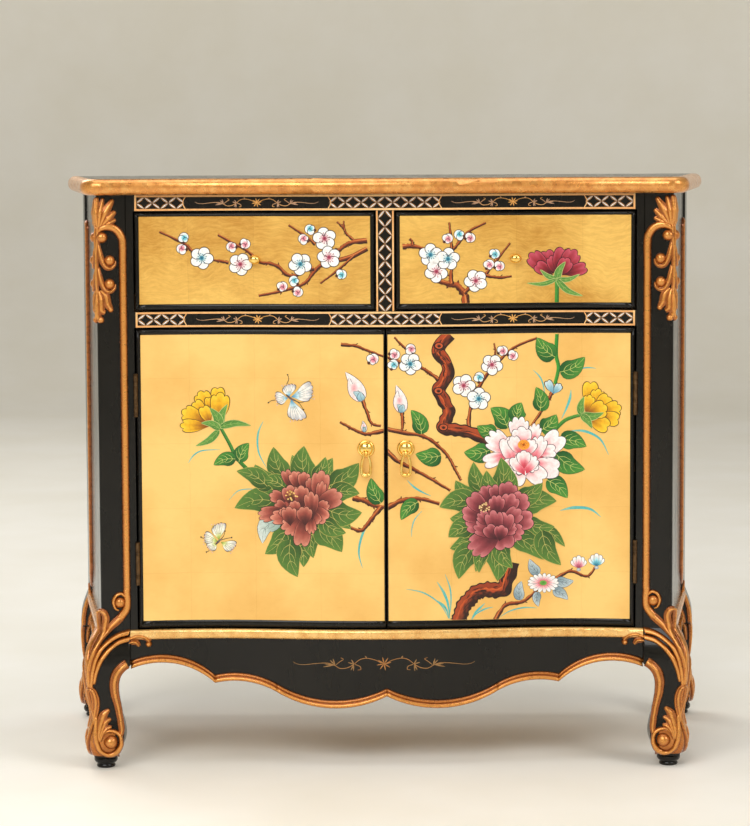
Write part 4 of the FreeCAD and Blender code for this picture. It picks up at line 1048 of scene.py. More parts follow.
def spun(bm, profile, centre, axis):
    """Spins a profile of (radius, height) points round an axis through a centre, all in millimetres."""
    side = Vector((0.0, 0.0, 1.0)) if abs(axis.y) > 0.5 else Vector((1.0, 0.0, 0.0))
    points = [bm.verts.new((Vector(centre) + side * r + axis * h) * MM) for r, h in profile]
    edges = [bm.edges.new(ends) for ends in zip(points, points[1:])]
    bmesh.ops.spin(bm, geom=points + edges, cent=Vector(centre) * MM, axis=axis, angle=math.tau,
                   steps=SPIN_STEPS, use_merge=True)


def closed(bm):
    """Merges poles and seams and turns the faces outwards."""
    turn_outwards(bm, weld(bm, bm.verts[:]))


low, high = (limit * 1000 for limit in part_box("foot_pads"))
pads = bmesh.new()
for x, y in ((FRONT_PAD_X, low.y + PAD_R), (high.x - PAD_R, high.y - PAD_R)):
    for side in (1, -1):
        spun(pads, PAD, (side * x, y, 0.0), Vector((0, 0, 1)))
closed(pads)
feet = smooth_object("turned_pads", pads, lacquer)
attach(feet, "case")
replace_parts(feet, "foot_pads")
print("four pads", len(feet.data.polygons), "faces")

# %% Rosettes and knob collars
ROSETTE_RIM = (
    (9.2, -1.2), (9.2, 2.4), (9.8, 3.1), (10.7, 3.2), (11.4, 2.5), (12.2, 1.9), (12.6, 0.9), (12.4, -1.2),
    (9.2, -1.2),
)
COLLAR = (
    (2.6, -1.0), (6.2, -1.0), (6.4, 0.5), (5.6, 1.3), (4.6, 1.6), (4.2, 2.4), (3.2, 2.9), (2.6, 2.9),
    (2.6, -1.0),
)
PULL_X, ROSETTE_Y, ROSETTE_Z = 28.5, -177.66, 463.0
KNOB_X, KNOB_Z = 186.2, 734.5
TOWARDS = Vector((0.0, -1.0, 0.0))


def brass_ring(name, body, profile, centre):
    """A turned brass ring that faces the front."""
    bm = bmesh.new()
    spun(bm, profile, centre, TOWARDS)
    closed(bm)
    ring = smooth_object(name, bm, brass)
    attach(ring, body)


def rosette(side, way):
    """The turned rim of a pull's rosette."""
    place = (way * PULL_X, ROSETTE_Y, ROSETTE_Z)
    brass_ring(f"{side}_rosette_rim", f"{side}_door", ROSETTE_RIM, place)


def collar(side, way):
    """The turned collar under a knob."""
    place = (way * KNOB_X, front_y(KNOB_X, PANEL_OUT), KNOB_Z)
    brass_ring(f"{side}_knob_collar", f"{side}_drawer", COLLAR, place)


print("rosettes", 2 * PULL_X, "mm apart, knobs", 2 * KNOB_X)

# %% Pulls
AXLE_Y, AXLE_Z = -185.16, 457.0
STIRRUP_HALF = ((-2.9, 0.0), (-3.6, -5.0), (-5.6, -10.5), (-6.3, -18.0), (-6.2, -26.0), (-4.4, -31.0))
STIRRUP = (*STIRRUP_HALF, (0.0, -31.6), *((-x, z) for x, z in reversed(STIRRUP_HALF)))
STIRRUP_R = (1.5, 1.7, 1.9, 2.0, 2.1, 2.6, 2.9, 2.6, 2.1, 2.0, 1.9, 1.7, 1.5)
AXLE, AXLE_R = ((-5.0, 0.0), (0.0, 0.0), (5.0, 0.0)), (1.1, 1.1, 1.1)
BALL_R, BALL_OUT, BALL_SQUEEZE = 2.6, 3.9, 0.72


def bar(bm, path, radii, rows, centre):
    """A bent bar: a ring of points carried along a path in an upright plane."""
    made = bmesh.ops.create_grid(bm, x_segments=rows, y_segments=12, size=1.0)["verts"]
    for v in made:
        u, angle = (v.co.x + 1) / 2, v.co.y * math.pi
        (x, z), (dx, dz) = bend(path, u), heading(path, u)
        side, out = level(radii, u) * math.cos(angle), level(radii, u) * math.sin(angle)
        v.co = (Vector(centre) + Vector((x - dz * side, -out, z + dx * side))) * MM
    cap(bm, weld(bm, made))


def drop(side, way):
    """The hanging part of a pull: a stirrup, its axle and a ball at each end of the axle."""
    bm = bmesh.new()
    centre = Vector((way * PULL_X, AXLE_Y, AXLE_Z))
    bar(bm, STIRRUP, STIRRUP_R, rows=72, centre=centre)
    bar(bm, AXLE, AXLE_R, rows=6, centre=centre)
    for end in (-1, 1):
        ball = bmesh.ops.create_uvsphere(bm, u_segments=16, v_segments=10, radius=BALL_R * MM)["verts"]
        bmesh.ops.scale(bm, vec=(BALL_SQUEEZE, 1.0, 1.0), verts=ball)
        bmesh.ops.translate(bm, vec=(centre + Vector((end * BALL_OUT, 0.0, 0.0))) * MM, verts=ball)
    bmesh.ops.recalc_face_normals(bm, faces=bm.faces[:])
    stirrup = smooth_object(f"{side}_pull_stirrup", bm, brass)
    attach(stirrup, f"{side}_pull")
    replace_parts(stirrup, f"{side}_pull_drop")
    print(stirrup.name, len(stirrup.data.polygons), "faces")


for side, way in (("right", 1), ("left", -1)):
    rosette(side, way)
    drop(side, way)
    collar(side, way)

# %% [markdown]
# ## Paint
# Lacquer painting is done in thin opaque coats, each flower built up from its darkest line to its palest
# petal. A coat here is a small grid laid a few hundredths of a millimetre above the gold, bent to the
# front, with a colour on each of its points. Four shapes cover nearly everything: a stroke along a line,
# an oval dab, a frilled petal that opens out from its base, and a leaf.

# %% The brush
OUTLINE, WHITE = (28, 22, 26), (252, 250, 248)
PRIMER = 0.15


def mixed(tones, u):
    """A colour that runs through a row of colours."""
    return tuple(level([tone[i] for tone in tones], u) for i in range(3))


class Canvas:
    """Painted work on the serpentine front. spot turns the painter's coordinates into x and z."""

    def __init__(self, out, spot):
        self.bm = bmesh.new()
        self.sheet = bpy.data.meshes.new("coat")
        self.out = out + PRIMER
        self.spot = spot

    def coat(self, rows, across, place, lift):
        """A grid whose points are put in place, lifted off the ground and coloured."""
        bm = bmesh.new()
        hue = bm.verts.layers.float_color.new("paint")
        for v in bmesh.ops.create_grid(bm, x_segments=rows, y_segments=across, size=1.0)["verts"]:
            a, b, tone = place((v.co.x + 1) / 2, v.co.y)
            x, z = self.spot(a, b)
            v.co = Vector((x, front_y(x, self.out + lift), z)) * MM
            v[hue] = srgb(*tone)
        bmesh.ops.remove_doubles(bm, verts=bm.verts[:], dist=2e-6)
        bm.to_mesh(self.sheet)
        bm.free()
        self.bm.from_mesh(self.sheet)

    def stroke(self, points, widths, tones, lift, rows=0, dark=None, rough=0.0):
        """A brush line. dark is the colour of its lower edge, and rough makes its sides uneven."""
        def place(u, w):
            (x, y), (dx, dy) = bend(points, u), heading(points, u)
            wave = math.sin(29 * u + 5 * w) * math.sin(11 * u + 2)
            uneven = 0.6 * wave + 0.4 * math.sin(71 * u * u + 6 * w)
            half = level(widths, u) / 2 * (1 + rough * uneven)
            tone = mixed(tones, u)
            if dark:
                low_side = w if dx - 0.3 * dy >= 0 else -w
                fleck = math.sin(61 * u + 7 * w) * math.sin(23 * u)
                shade = max(0.0, 0.5 + low_side * 0.75 + 0.35 * fleck)
                tone = mixed((tone, dark), min(1.0, shade ** 2))
            return x - dy * half * w, y + dx * half * w, tone
        self.coat(rows or 6 * len(points), 6 if dark else 2, place, lift)

    def dab(self, x, y, rx, ry, tones, lift, start=None, steps=18, rings=3):
        """An oval dab. Its tones run out from its own middle, or from a start of (x, y, reach)."""
        def place(u, w):
            px, py = x + rx * u * math.cos(w * math.pi), y + ry * u * math.sin(w * math.pi)
            share = min(1.0, math.hypot(px - start[0], py - start[1]) / start[2]) if start else u
            return px, py, mixed(tones, share)
        self.coat(rings, steps, place, lift)

    def trim(self, corner_place, way):
        """Cuts off what lies below, or above, a corner of (x, z) in millimetres."""
        for axis, value in zip((0, 2), corner_place):
            where, outwards = Vector(), Vector()
            where[axis], outwards[axis] = value * MM, way
            geometry = self.bm.verts[:] + self.bm.edges[:] + self.bm.faces[:]
            bmesh.ops.bisect_plane(self.bm, geom=geometry, dist=1e-7, plane_co=where, plane_no=outwards,
                                   clear_outer=True)

    def done(self, name, body, slot):
        """The finished painting, with its faces to the front."""
        self.bm.normal_update()
        bmesh.ops.reverse_faces(self.bm, faces=[f for f in self.bm.faces if f.normal.y > 0])
        piece = smooth_object(name, self.bm, paint)
        bpy.data.meshes.remove(self.sheet)
        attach(piece, body)
        print(name, len(piece.data.polygons), "faces")


print("half way from the outline to white is", mixed((OUTLINE, WHITE), 0.5))

# %% Petals and leaves


def petal(canvas, base, tip, width, tones, line, lift, lobes, frill, edge, fade=1.4, slant=0.0):
    """A lobed petal with a dark line round it.

    Its tones run from base to edge, and a slant cuts it like a wing.
    """
    reach = math.hypot(tip[0] - base[0], tip[1] - base[1])
    lean = math.atan2(tip[1] - base[1], tip[0] - base[0])
    fan = math.atan(width / 2 / (0.8 * reach))
    turned = 1 if tip[0] > base[0] else -1
    for grow, paints, rise in ((edge, (line, line), 0.0), (0.0, tones, 0.01)):
        def place(u, w):
            lobe = abs(math.sin(math.pi * lobes * (w + 1) / 2)) ** 0.7 if lobes > 1 else 1.0
            cut = (1 - (0.1 if slant else 0.3) * abs(w) ** 2.6) * (1 - slant * (1 + turned * w) / 2)
            far = reach * cut * (1 - frill * (1 - lobe) * u * u) + grow
            open_out = (0.7 + 0.3 * math.sin(math.pi * min(1.0, 0.8 * u))) * (1 + grow / (0.5 * width))
            angle = lean + w * fan * open_out
            tone = mixed(paints, min(1.0, u ** fade * (1.0 + 0.1 * math.sin(9 * w + base[0]))))
            return base[0] + far * u * math.cos(angle), base[1] + far * u * math.sin(angle), tone
        canvas.coat(6, 7 * lobes if lobes > 1 else 12, place, lift + rise)


def leaf(canvas, base, tip, width, dress, lift, bow, veins=3):
    """A leaf with an edge line, a midrib and veins; dress gives its dark, pale, edge and vein tones."""
    dark, pale, edge, vein = dress
    dx, dy = tip[0] - base[0], tip[1] - base[1]
    path = [base, (base[0] + dx * 0.48 - dy * bow, base[1] + dy * 0.48 + dx * bow), tip]
    for grow, rise in ((0.8, 0.0), (0.0, 0.01)):
        def place(u, w):
            (x, y), (ax, ay) = bend(path, u), heading(path, u)
            belly = width * 1.15 * math.sin(math.pi * min(1.0, u + 0.02) ** 0.7)
            half = (belly + grow) / 2 if u < 0.98 else 0.05
            share = min(1.0, max(0.0, 0.1 + 0.7 * u + 0.35 * w * (1 - u)))
            return x - ay * half * w, y + ax * half * w, edge if grow else mixed((dark, pale), share)
        canvas.coat(10, 4, place, lift + rise)
    ribs = [[bend(path, u) for u in (0.0, 0.35, 0.65, 0.95)]]
    turns = ((0.0, 0.0), (0.45, 0.5), (1.2, 0.72))
    for k in range(veins):
        (x, y), (ax, ay) = bend(path, 0.16 + 0.2 * k), heading(path, 0.16 + 0.2 * k)
        run = min(width * 0.5, math.hypot(dx, dy) * 0.36) * (1 - 0.2 * k)
        for side in (-run, run):
            ribs.append([(x + ax * run * far - ay * side * out, y + ay * run * far + ax * side * out)
                         for far, out in turns])
    for rib in ribs:
        canvas.stroke(rib, (0.5, 0.36, 0.2), (vein, vein), lift + 0.02, rows=6)


print("petals and leaves ready")

# %% [markdown]
# ## Fret borders and gold scrolls
# The rails and the middle stile carry a border of interlocked circles: every tile is four white lenses
# edged in gold, which meet at the middles of the tile's sides and leave a black hollow diamond. Between
# runs of fret there are plain black fields with a fine vine in gold. All of it is laid out in
# millimetres on the rails, so it needs no pixels.

# %% Fret
GOLD_LINE, PALE_GOLD, FRET_BLACK = (236, 170, 104), (250, 204, 142), (16, 12, 9)


def in_mm(x, z):
    """Painter's coordinates that are already x and z."""
    return x, z


def lens(canvas, a, b, width, tone, lift):
    """A pointed oval between two places."""
    def place(u, w):
        half = width / 2 * math.sin(math.pi * (0.04 + 0.92 * u)) ** 0.9
        dx, dz = b[0] - a[0], b[1] - a[1]
        length = math.hypot(dx, dz)
        return a[0] + dx * u - dz / length * half * w, a[1] + dz * u + dx / length * half * w, tone
    canvas.coat(8, 2, place, lift)


def fret_tile(canvas, x, z, half_x, half_z):
    """One tile: four white lenses with gold edges round a black diamond."""
    nodes = [(x - half_x, z), (x, z + half_z), (x + half_x, z), (x, z - half_z)]
    for a, b in zip(nodes, nodes[1:] + nodes[:1]):
        lens(canvas, a, b, 3.7, GOLD_LINE, 0.05)
        lens(canvas, a, b, 2.5, FRET_BLACK, 0.06)
        ends = [tuple(near * 0.9 + far * 0.1 for near, far in zip(*pair)) for pair in ((a, b), (b, a))]
        lens(canvas, *ends, 1.35, WHITE, 0.07)


rails = Canvas(0.0, in_mm)
print("the fret lies", rails.out, "mm above its rails")

# %% Vines
VINE_STEM = ((-64, -1), (-61, 0.6), (-56, 1), (-48, 0), (-40, -0.4), (-35, 1.2), (-31, 3.6), (-26, 3.2),
             (-21.5, 0.6), (-17, -3.2), (-12, -4.2), (-6, -2.8), (-2, -0.5))
VINE_CURLS = (((-34, 1), (-31, -1.6), (-28.6, -3.4), (-30.6, -4.6)),
              ((-20.5, 0.6), (-17, 2), (-16.4, 4.4), (-18.6, 4.8)))
VINE_TWIGS = (((-34.5, 1), (-38, -2.6)), ((-34.5, 1), (-36, -3.8)), ((-35, 1), (-43, 2.6)),
              ((-36, 1), (-42, 0.2)), ((-21, 0.4), (-25.4, -1)), ((-21, 0.4), (-23, -3.2)),
              ((-21.4, 0.6), (-23.4, 5)), ((-21.4, 0.6), (-21.6, 5.6)), ((-12, -4.2), (-13.4, -6)))
VINE_PETALS, VINE_FLOWER_R = 8, 5.2


def vine(canvas, x, z, wide, tall, thick, tones):
    """A scrolling vine that runs both ways from a small flower."""
    for way in (1, -1):
        def at(points):
            return [(x - way * a * wide, z - b * tall) for a, b in points]
        canvas.stroke(at(VINE_STEM), (thick * 0.5, thick, thick, thick * 0.8), tones, 0.06, rows=60)
        for curl in VINE_CURLS:
            canvas.stroke(at(curl), (thick, thick, thick * 0.5), tones, 0.07, rows=14)
        for twig in VINE_TWIGS:
            lens(canvas, *at(twig), thick * 1.7, tones[0], 0.08)
    for k in range(VINE_PETALS):
        angle = k * math.tau / VINE_PETALS + 0.2
        reach_x, reach_z = VINE_FLOWER_R * wide, VINE_FLOWER_R * tall
        tip = (x + reach_x * math.cos(angle), z + reach_z * math.sin(angle))
        lens(canvas, (x, z), tip, thick * 1.7, tones[1], 0.09)
    canvas.dab(x, z, thick * 1.1, thick * 1.1, (tones[1], tones[1]), 0.1)


print("a vine is", -2 * VINE_STEM[0][0], "units long")

# %% Rails, stile and apron
RAIL_HALF, RAIL_LINE, RAIL_TILE = 357.0, 2.7, 22.6
TOP_RAIL, MIDDLE_RAIL = (804.2, 826.4), (637.6, 659.4)
STILE_LINE_X, STILE_LINE, STILE_HEIGHTS = 11.4, 2.4, (660.0, 730.0, 803.6)
STILE_TILES, STILE_TILE_Z, STILE_TILE = 6, 671.5, 24.2
APRON_VINE = (-4.0, 150.5)
RAIL_VINE_TONES, APRON_VINE_TONES = ((186, 148, 120), (230, 168, 88)), ((150, 112, 66), (176, 118, 60))


def border(canvas, z_low, z_high):
    """The gold lines, fret runs and vines of one rail."""
    half, line, tile, middle = RAIL_HALF, RAIL_LINE, RAIL_TILE, (z_low + z_high) / 2
    gold = (GOLD_LINE, PALE_GOLD, GOLD_LINE)
    for z in (z_low + line / 2, z_high - line / 2):
        canvas.stroke([(-half, z), (0, z), (half, z)], (line, line), gold, 0.1, rows=90)
    for x in (-half + line / 2, half - line / 2):
        canvas.stroke([(x, z_low), (x, middle), (x, z_high)], (line, line), (GOLD_LINE, PALE_GOLD), 0.11)
    tall = (z_high - z_low) / 2 - line
    for start, count in ((-half + line, 3), (-tile * 3.5, 7), (half - line - tile * 3, 3)):
        for k in range(count):
            fret_tile(canvas, start + tile * (k + 0.5), middle, tile / 2, tall)
    for side in (1, -1):
        for x, way in ((side * tile * 3.5, side), (side * (half - line - tile * 3), -side)):
            arc = [(x + way * 1.5, z_low + line), (x - way * 2.2, middle), (x + way * 1.5, z_high - line)]
            canvas.stroke(arc, (1.3, 1.3), (PALE_GOLD, GOLD_LINE), 0.12, rows=12)
        centre = side * (half - line - tile * 3 + tile * 3.5) / 2
        vine(canvas, centre, middle, 1.38, 1.25, 0.9, RAIL_VINE_TONES)


border(rails, *TOP_RAIL)
border(rails, *MIDDLE_RAIL)
for x in (-STILE_LINE_X, STILE_LINE_X):
    rails.stroke([(x, z) for z in STILE_HEIGHTS], (STILE_LINE, STILE_LINE), (GOLD_LINE, PALE_GOLD, GOLD_LINE),
                 0.1, rows=30)
for k in range(STILE_TILES):
    fret_tile(rails, 0.0, STILE_TILE_Z + STILE_TILE * k, 9.9, 12.0)
vine(rails, *APRON_VINE, 2.05, 1.9, 1.0, APRON_VINE_TONES)
rails.done("fret_and_vines", "case", "black_lacquer")

# %% [markdown]
# ## Branches and blossom
# The panels are painted with traditional subjects: plum blossom on bare wood, peonies among their leaves,
# magnolia, grass and butterflies. Each subject is one small function, so a panel is then only a list of
# where its branches, flowers and leaves are. Places are given in pixels of the photograph and carried to
# the curved front by the line of sight.

# %% Branches
INK, BARK, PALE_BARK = (46, 20, 10), (176, 80, 30), (226, 140, 72)
RED_BARK = ((186, 74, 30), (152, 56, 22), (178, 76, 34))
LIT_BARK = ((222, 106, 48), (196, 82, 36))
KNOT_TONES = ((120, 44, 22), (220, 100, 50))
TWIG_TIP, TRUNK_LIFT = 0.5, 0.1


def branch(canvas, points, width, lift):
    """A twig: ink under, bark over it, a pale line along its upper side and short spurs."""
    widths = (width, width * (1 + TWIG_TIP) / 2, width * TWIG_TIP)
    shadow = [(x, y + 0.4) for x, y in points]
    canvas.stroke(shadow, [w + 1.0 for w in widths], (INK, (96, 42, 18)), lift, rough=0.3)
    canvas.stroke(points, widths, (BARK, BARK), lift + 0.012, dark=(66, 26, 10), rough=0.25)
    for k, (x, y) in enumerate(points[1:-1]):
        ax, ay = heading(points, (k + 1) / (len(points) - 1))
        aside = (1 if k % 2 else -1) * (width * 0.5 + 1.6)
        spur = (x + ax * 2.4 - ay * aside, y + ay * 2.4 + ax * aside)
        canvas.stroke([(x, y), spur], (width * 0.7, 0.5), (BARK, INK), lift + 0.006, rows=4)
    raised = [(x, y - width * 0.2) for x, y in points]
    canvas.stroke(raised, [w * 0.28 for w in widths], (PALE_BARK, BARK, PALE_BARK), lift + 0.024)


def bark_crack(canvas, points, width, draw):
    """A short dark crack at a random place on a trunk."""
    u = draw.uniform(0.03, 0.92)
    aside = draw.uniform(-0.4, 0.42) * width
    run = draw.uniform(0.3, 0.8) * width
    (x, y), (dx, dy) = bend(points, u), heading(points, u)
    start = (x - dy * aside, y + dx * aside)
    end = (x - dy * aside * 0.7 + dx * run, y + dx * aside * 0.7 + dy * run)
    canvas.stroke([start, end], (0.3, 1.1, 0.3), (INK, (70, 28, 14)), TRUNK_LIFT + 0.036, rows=4)


def trunk(canvas, points, width, knots):
    """An old trunk: a rough ink edge, red-brown bark with cracks, and round knots."""
    lift, rows = TRUNK_LIFT, 20 * len(points)
    canvas.stroke(points, (width + 1.6, width + 2.2, width + 1.6), (INK, INK), lift, rows=rows, rough=0.2)
    canvas.stroke(points, (width, width, width * 0.9), RED_BARK, lift + 0.012, rows=rows, dark=(44, 18, 10),
                  rough=0.2)
    lit = [(x - 0.16 * width, y) for x, y in points]
    canvas.stroke(lit, (width * 0.1, width * 0.24, width * 0.1), LIT_BARK, lift + 0.024, rows=rows,
                  dark=(176, 68, 28), rough=0.9)
    draw = random.Random(len(points))
    for _ in range(3 * len(points)):
        bark_crack(canvas, points, width, draw)
    for x, y in knots:
        canvas.dab(x, y, width * 0.46, width * 0.36, (INK, INK), lift + 0.045)
        canvas.dab(x + 0.4, y - 0.2, width * 0.34, width * 0.25, KNOT_TONES, lift + 0.055)
        canvas.dab(x + 0.6, y + 0.2, width * 0.16, width * 0.12, (INK, INK), lift + 0.065, steps=10)


print("branches and trunks ready")

# %% Plum blossom
TINTS = {"blue": ((24, 104, 136), (120, 208, 226)), "pink": ((156, 36, 74), (240, 152, 168))}
PLUM_PETALS, PLUM_STAMENS = 5, 13
BUD_LIFT = 0.32


def plum(canvas, x, y, radius, tint, lift):
    """A plum blossom: five round petals and a ring of stamens."""
    deep, soft = TINTS[tint]
    petal_tones = (soft, mixed((soft, WHITE), 0.7), WHITE, WHITE)
    for k in range(PLUM_PETALS):
        angle = (x + y) * 0.7 + k * 2 * math.pi / PLUM_PETALS
        px, py = x + 0.56 * radius * math.cos(angle), y + 0.54 * radius * math.sin(angle)
        size, rise = 0.47 * radius, lift + 0.024 * k
        canvas.dab(px, py, size + 0.6, size * 0.95 + 0.6, (OUTLINE, OUTLINE), rise)
        canvas.dab(px, py, size - 0.1, size * 0.95 - 0.1, petal_tones, rise + 0.012,
                   start=(x, y, radius * 0.8))
    heart = mixed((deep, INK), 0.35)
    canvas.dab(x, y, radius * 0.2, radius * 0.2, (heart, soft), lift + 0.13)
    for k in range(PLUM_STAMENS):
        angle = k * 2 * math.pi / PLUM_STAMENS + x
        far = radius * (0.34, 0.5, 0.42)[k % 3]
        ends = [(x + f * math.cos(angle), y + f * math.sin(angle)) for f in (0.3, far)]
        canvas.stroke(ends, (0.35, 0.3), (deep, deep), lift + 0.14, rows=2)
        canvas.dab(*ends[1], 0.55, 0.55, (deep, deep), lift + 0.15, steps=8, rings=1)


def bud(canvas, x, y, radius, tint):
    """A closed blossom: a round bud of three petals with its colour at the heart."""
    deep, soft = TINTS[tint]
    petal_tones = (mixed((deep, soft), 0.6), soft, WHITE, WHITE)
    turn = 1.7 * math.sin(x * 0.37 + y * 0.23)
    ax, ay = math.cos(turn) * radius, math.sin(turn) * radius
    calyx = (x - ay * 0.95, y + ax * 0.95)
    canvas.dab(*calyx, radius * 0.34, radius * 0.34, (INK, (120, 56, 28)), BUD_LIFT - 0.02, steps=10)
    rows = ((0.12, -0.12, 0.92), (-0.34, 0.2, 0.66), (0.42, 0.42, 0.46))
    for k, (along, out, share) in enumerate(rows):
        lift = BUD_LIFT + 0.024 * k
        px, py, size = x + along * ax - out * ay, y + along * ay + out * ax, share * radius
        canvas.dab(px, py, size + 0.45, size + 0.45, (OUTLINE, OUTLINE), lift)
        canvas.dab(px, py, size - 0.1, size - 0.1, petal_tones, lift + 0.012,
                   start=(x + 0.22 * ax, y + 0.22 * ay, radius * 1.15))


print("blossom in", ", ".join(TINTS))

# %% Foliage and peonies
CUP_LIFT = 0.3


def foliage(canvas, leaves, dress, lift=0.14, heart=None):
    """Leaves from rows of base, tip and width, with neighbours at different heights.

    Where a flower's heart is given, they are tucked in under it.
    """
    if heart:
        canvas.dab(*heart, 32, 30, (mixed((dress[0], INK), 0.3), dress[0]), lift - 0.02)
    for k, (base, tip, width) in enumerate(leaves):
        if heart:
            base, width = [b * 0.86 + h * 0.14 for b, h in zip(base, heart)], width * 1.2
        leaf(canvas, base, tip, width, dress, lift + 0.035 * (k % 4), bow=0.12 if k % 2 else -0.1)


def peony(canvas, petals, tones, line, seed, lift=0.32, fade=2.1):
    """A full peony from rows of petal base, tip and width, the farthest petal first."""
    draw = random.Random(seed)
    middle = [sum(base[i] for base, _, _ in petals) / len(petals) for i in (0, 1)]
    canvas.dab(*middle, 24, 22, (tones[1], tones[1]), lift - 0.02)
    for k, (base, tip, width) in enumerate(petals):
        shade = [mixed((tone, tones[0]), draw.uniform(0.0, 0.12)) for tone in tones]
        root = (base[0] * 1.35 - tip[0] * 0.35, base[1] * 1.35 - tip[1] * 0.35)
        petal(canvas, root, tip, width * 1.55, shade, line, lift + 0.021 * k, lobes=draw.choice((2, 3, 3, 4)),
              frill=draw.uniform(0.08, 0.15), edge=0.6, fade=fade)


def stamens(canvas, eye, reach, tones, line, seed, lift):
    """The heart of a flower: short threads with pollen at their ends."""
    draw = random.Random(seed)
    for _ in range(16):
        angle, far = draw.uniform(0, 2 * math.pi), draw.uniform(0.35, 1.0) * reach
        tip = (eye[0] + far * math.cos(angle), eye[1] + far * math.sin(angle) * 0.85)
        canvas.stroke([eye, tip], (0.5, 0.4), (line, tones[0]), lift, rows=3)
        canvas.dab(*tip, 0.95, 0.85, (tones[1], tones[0]), lift + 0.012, steps=9, rings=1)


def cup(canvas, petals, tones, line, widen=1.25):
    """A half-open flower from rows of petal base, tip and width, the farthest petal first."""
    for k, (base, tip, width) in enumerate(petals):
        lift = CUP_LIFT + 0.03 * k
        petal(canvas, base, tip, width * widen, tones, line, lift, lobes=2 + k % 2, frill=0.1, edge=0.7)


print("foliage, peonies and half-open flowers ready")

# %% Magnolias, grass and butterflies
MAGNOLIA_WHITE = ((250, 222, 222), WHITE, OUTLINE, (214, 202, 206))
MAGNOLIA_CUP = ((120, 172, 190), (216, 234, 238), OUTLINE, (120, 140, 150))
GRASS_TONES = ((150, 200, 176), (82, 184, 184), (120, 196, 180))
WING_LINE = (44, 38, 42)
GRASS_LIFT, WING_LIFT = 0.03, 0.36


def magnolia(canvas, foot, heart, tip, lift):
    """A magnolia bud: a tall white petal folded over another, with a blush at its base and a grey cup."""
    size = math.hypot(tip[0] - foot[0], tip[1] - foot[1])
    leaf(canvas, foot, tip, size * 0.35, MAGNOLIA_WHITE, lift, bow=0.06, veins=0)
    fold = ((tip[0] * 3 + heart[0]) / 4 + 0.5, (tip[1] * 3 + heart[1]) / 4)
    leaf(canvas, foot, fold, size * 0.24, MAGNOLIA_WHITE, lift + 0.03, bow=-0.14, veins=0)
    blush = ((heart[0] + tip[0] * 0.3) / 1.3, (heart[1] + tip[1] * 0.3) / 1.3)
    canvas.dab(*blush, size * 0.11, size * 0.14, ((240, 164, 170), (250, 220, 222)), lift + 0.055)
    for k, side in enumerate((-0.12, 0.12)):
        lip = (heart[0] + side * size, heart[1] - 0.04 * size)
        leaf(canvas, foot, lip, size * 0.2, MAGNOLIA_CUP, lift + 0.07 + 0.03 * k, bow=-side, veins=0)


def grass(canvas, blades):
    """Blades of grass from rows of points and width, thin at both ends."""
    for points, width in blades:
        canvas.stroke(points, (0.3, width, width * 0.8, 0.25), GRASS_TONES, GRASS_LIFT, rows=20)


def wing(canvas, base, tip, width, tones, lift):
    """One wing of a butterfly, with five veins that end in pale dots."""
    petal(canvas, base, tip, width * 1.2, tones, WING_LINE, lift, lobes=5, frill=0.07, edge=0.5, fade=1.1,
          slant=0.3)
    dx, dy = tip[0] - base[0], tip[1] - base[1]
    reach = math.hypot(dx, dy)
    for spoke in (-0.62, -0.3, 0.0, 0.3, 0.62):
        aside = spoke * width / 2 / reach
        inner = (base[0] + dx * 0.3 - dy * aside * 0.35, base[1] + dy * 0.3 + dx * aside * 0.35)
        outer = (base[0] + dx * 0.84 - dy * aside, base[1] + dy * 0.84 + dx * aside)
        canvas.stroke([inner, outer], (0.3, 0.25), (WING_LINE, tones[1]), lift + 0.015, rows=3)
        canvas.dab(*outer, 0.7, 0.7, ((252, 234, 214), (226, 166, 146)), lift + 0.018, steps=8, rings=1)


def butterfly(canvas, body, wings, threads, tones):
    """A butterfly from its body line, rows of wing base, tip and width, and its tails and feelers."""
    for k, (base, tip, width) in enumerate(wings):
        wing(canvas, base, tip, width, tones, WING_LIFT + 0.03 * k)
    for thread in threads:
        canvas.stroke(thread, (0.7, 0.5, 0.4), (WING_LINE, WING_LINE), WING_LIFT - 0.01, rows=8)
        canvas.dab(*thread[-1], 0.75, 0.75, (WING_LINE, WING_LINE), WING_LIFT, steps=8, rings=1)
    canvas.stroke(body, (1.0, 2.2, 1.2), ((70, 60, 66), (140, 124, 120)), WING_LIFT + 0.16, rows=8)


print("subjects ready")

# %% [markdown]
# ## The drawers
# The left drawer has a long plum branch that comes in from the right. The right drawer has an old plum
# stump with short shoots, and a red peony bud on a straight stem.

# %% Plum on the left drawer
# Rows of pixels and width.
LEFT_DRAWER_TWIGS = (
    (((367, 240), (349, 243), (339, 250), (332, 254)), 4.4),
    (((367, 248), (352, 256), (333, 262), (320, 265.7), (313.7, 272.3), (307, 280.7), (298.7, 285.7),
      (282, 290.7), (258.7, 295.3)), 3.8),
    (((314, 268), (303, 270), (294.5, 275.7), (285.3, 273), (278.7, 266.5), (268.7, 263), (259.5, 261.5),
      (248.7, 251.5), (240, 246.5), (218, 234.5)), 3.4),
    (((228.7, 262.3), (220.3, 260.7), (213.7, 259.8)), 2.6),
    (((193, 252), (190.3, 249), (183.7, 243), (159.5, 231.5)), 2.8),
    (((353.7, 239.8), (347, 234), (342.8, 227.3), (337, 221.5)), 2.0),
    (((345, 231), (344, 226), (343.7, 220.7)), 1.4),
    (((315.3, 244), (305.3, 235.7), (288.7, 224.8)), 2.4),
    (((353.7, 255.7), (338.7, 269), (320.3, 283)), 2.0),
)
LEFT_DRAWER_BLOSSOM = (
    (201.7, 258, "blue"), (240.3, 264.3, "pink"), (300.3, 264, "blue"), (324.5, 238.5, "pink"),
    (329, 257.3, "pink"),
)
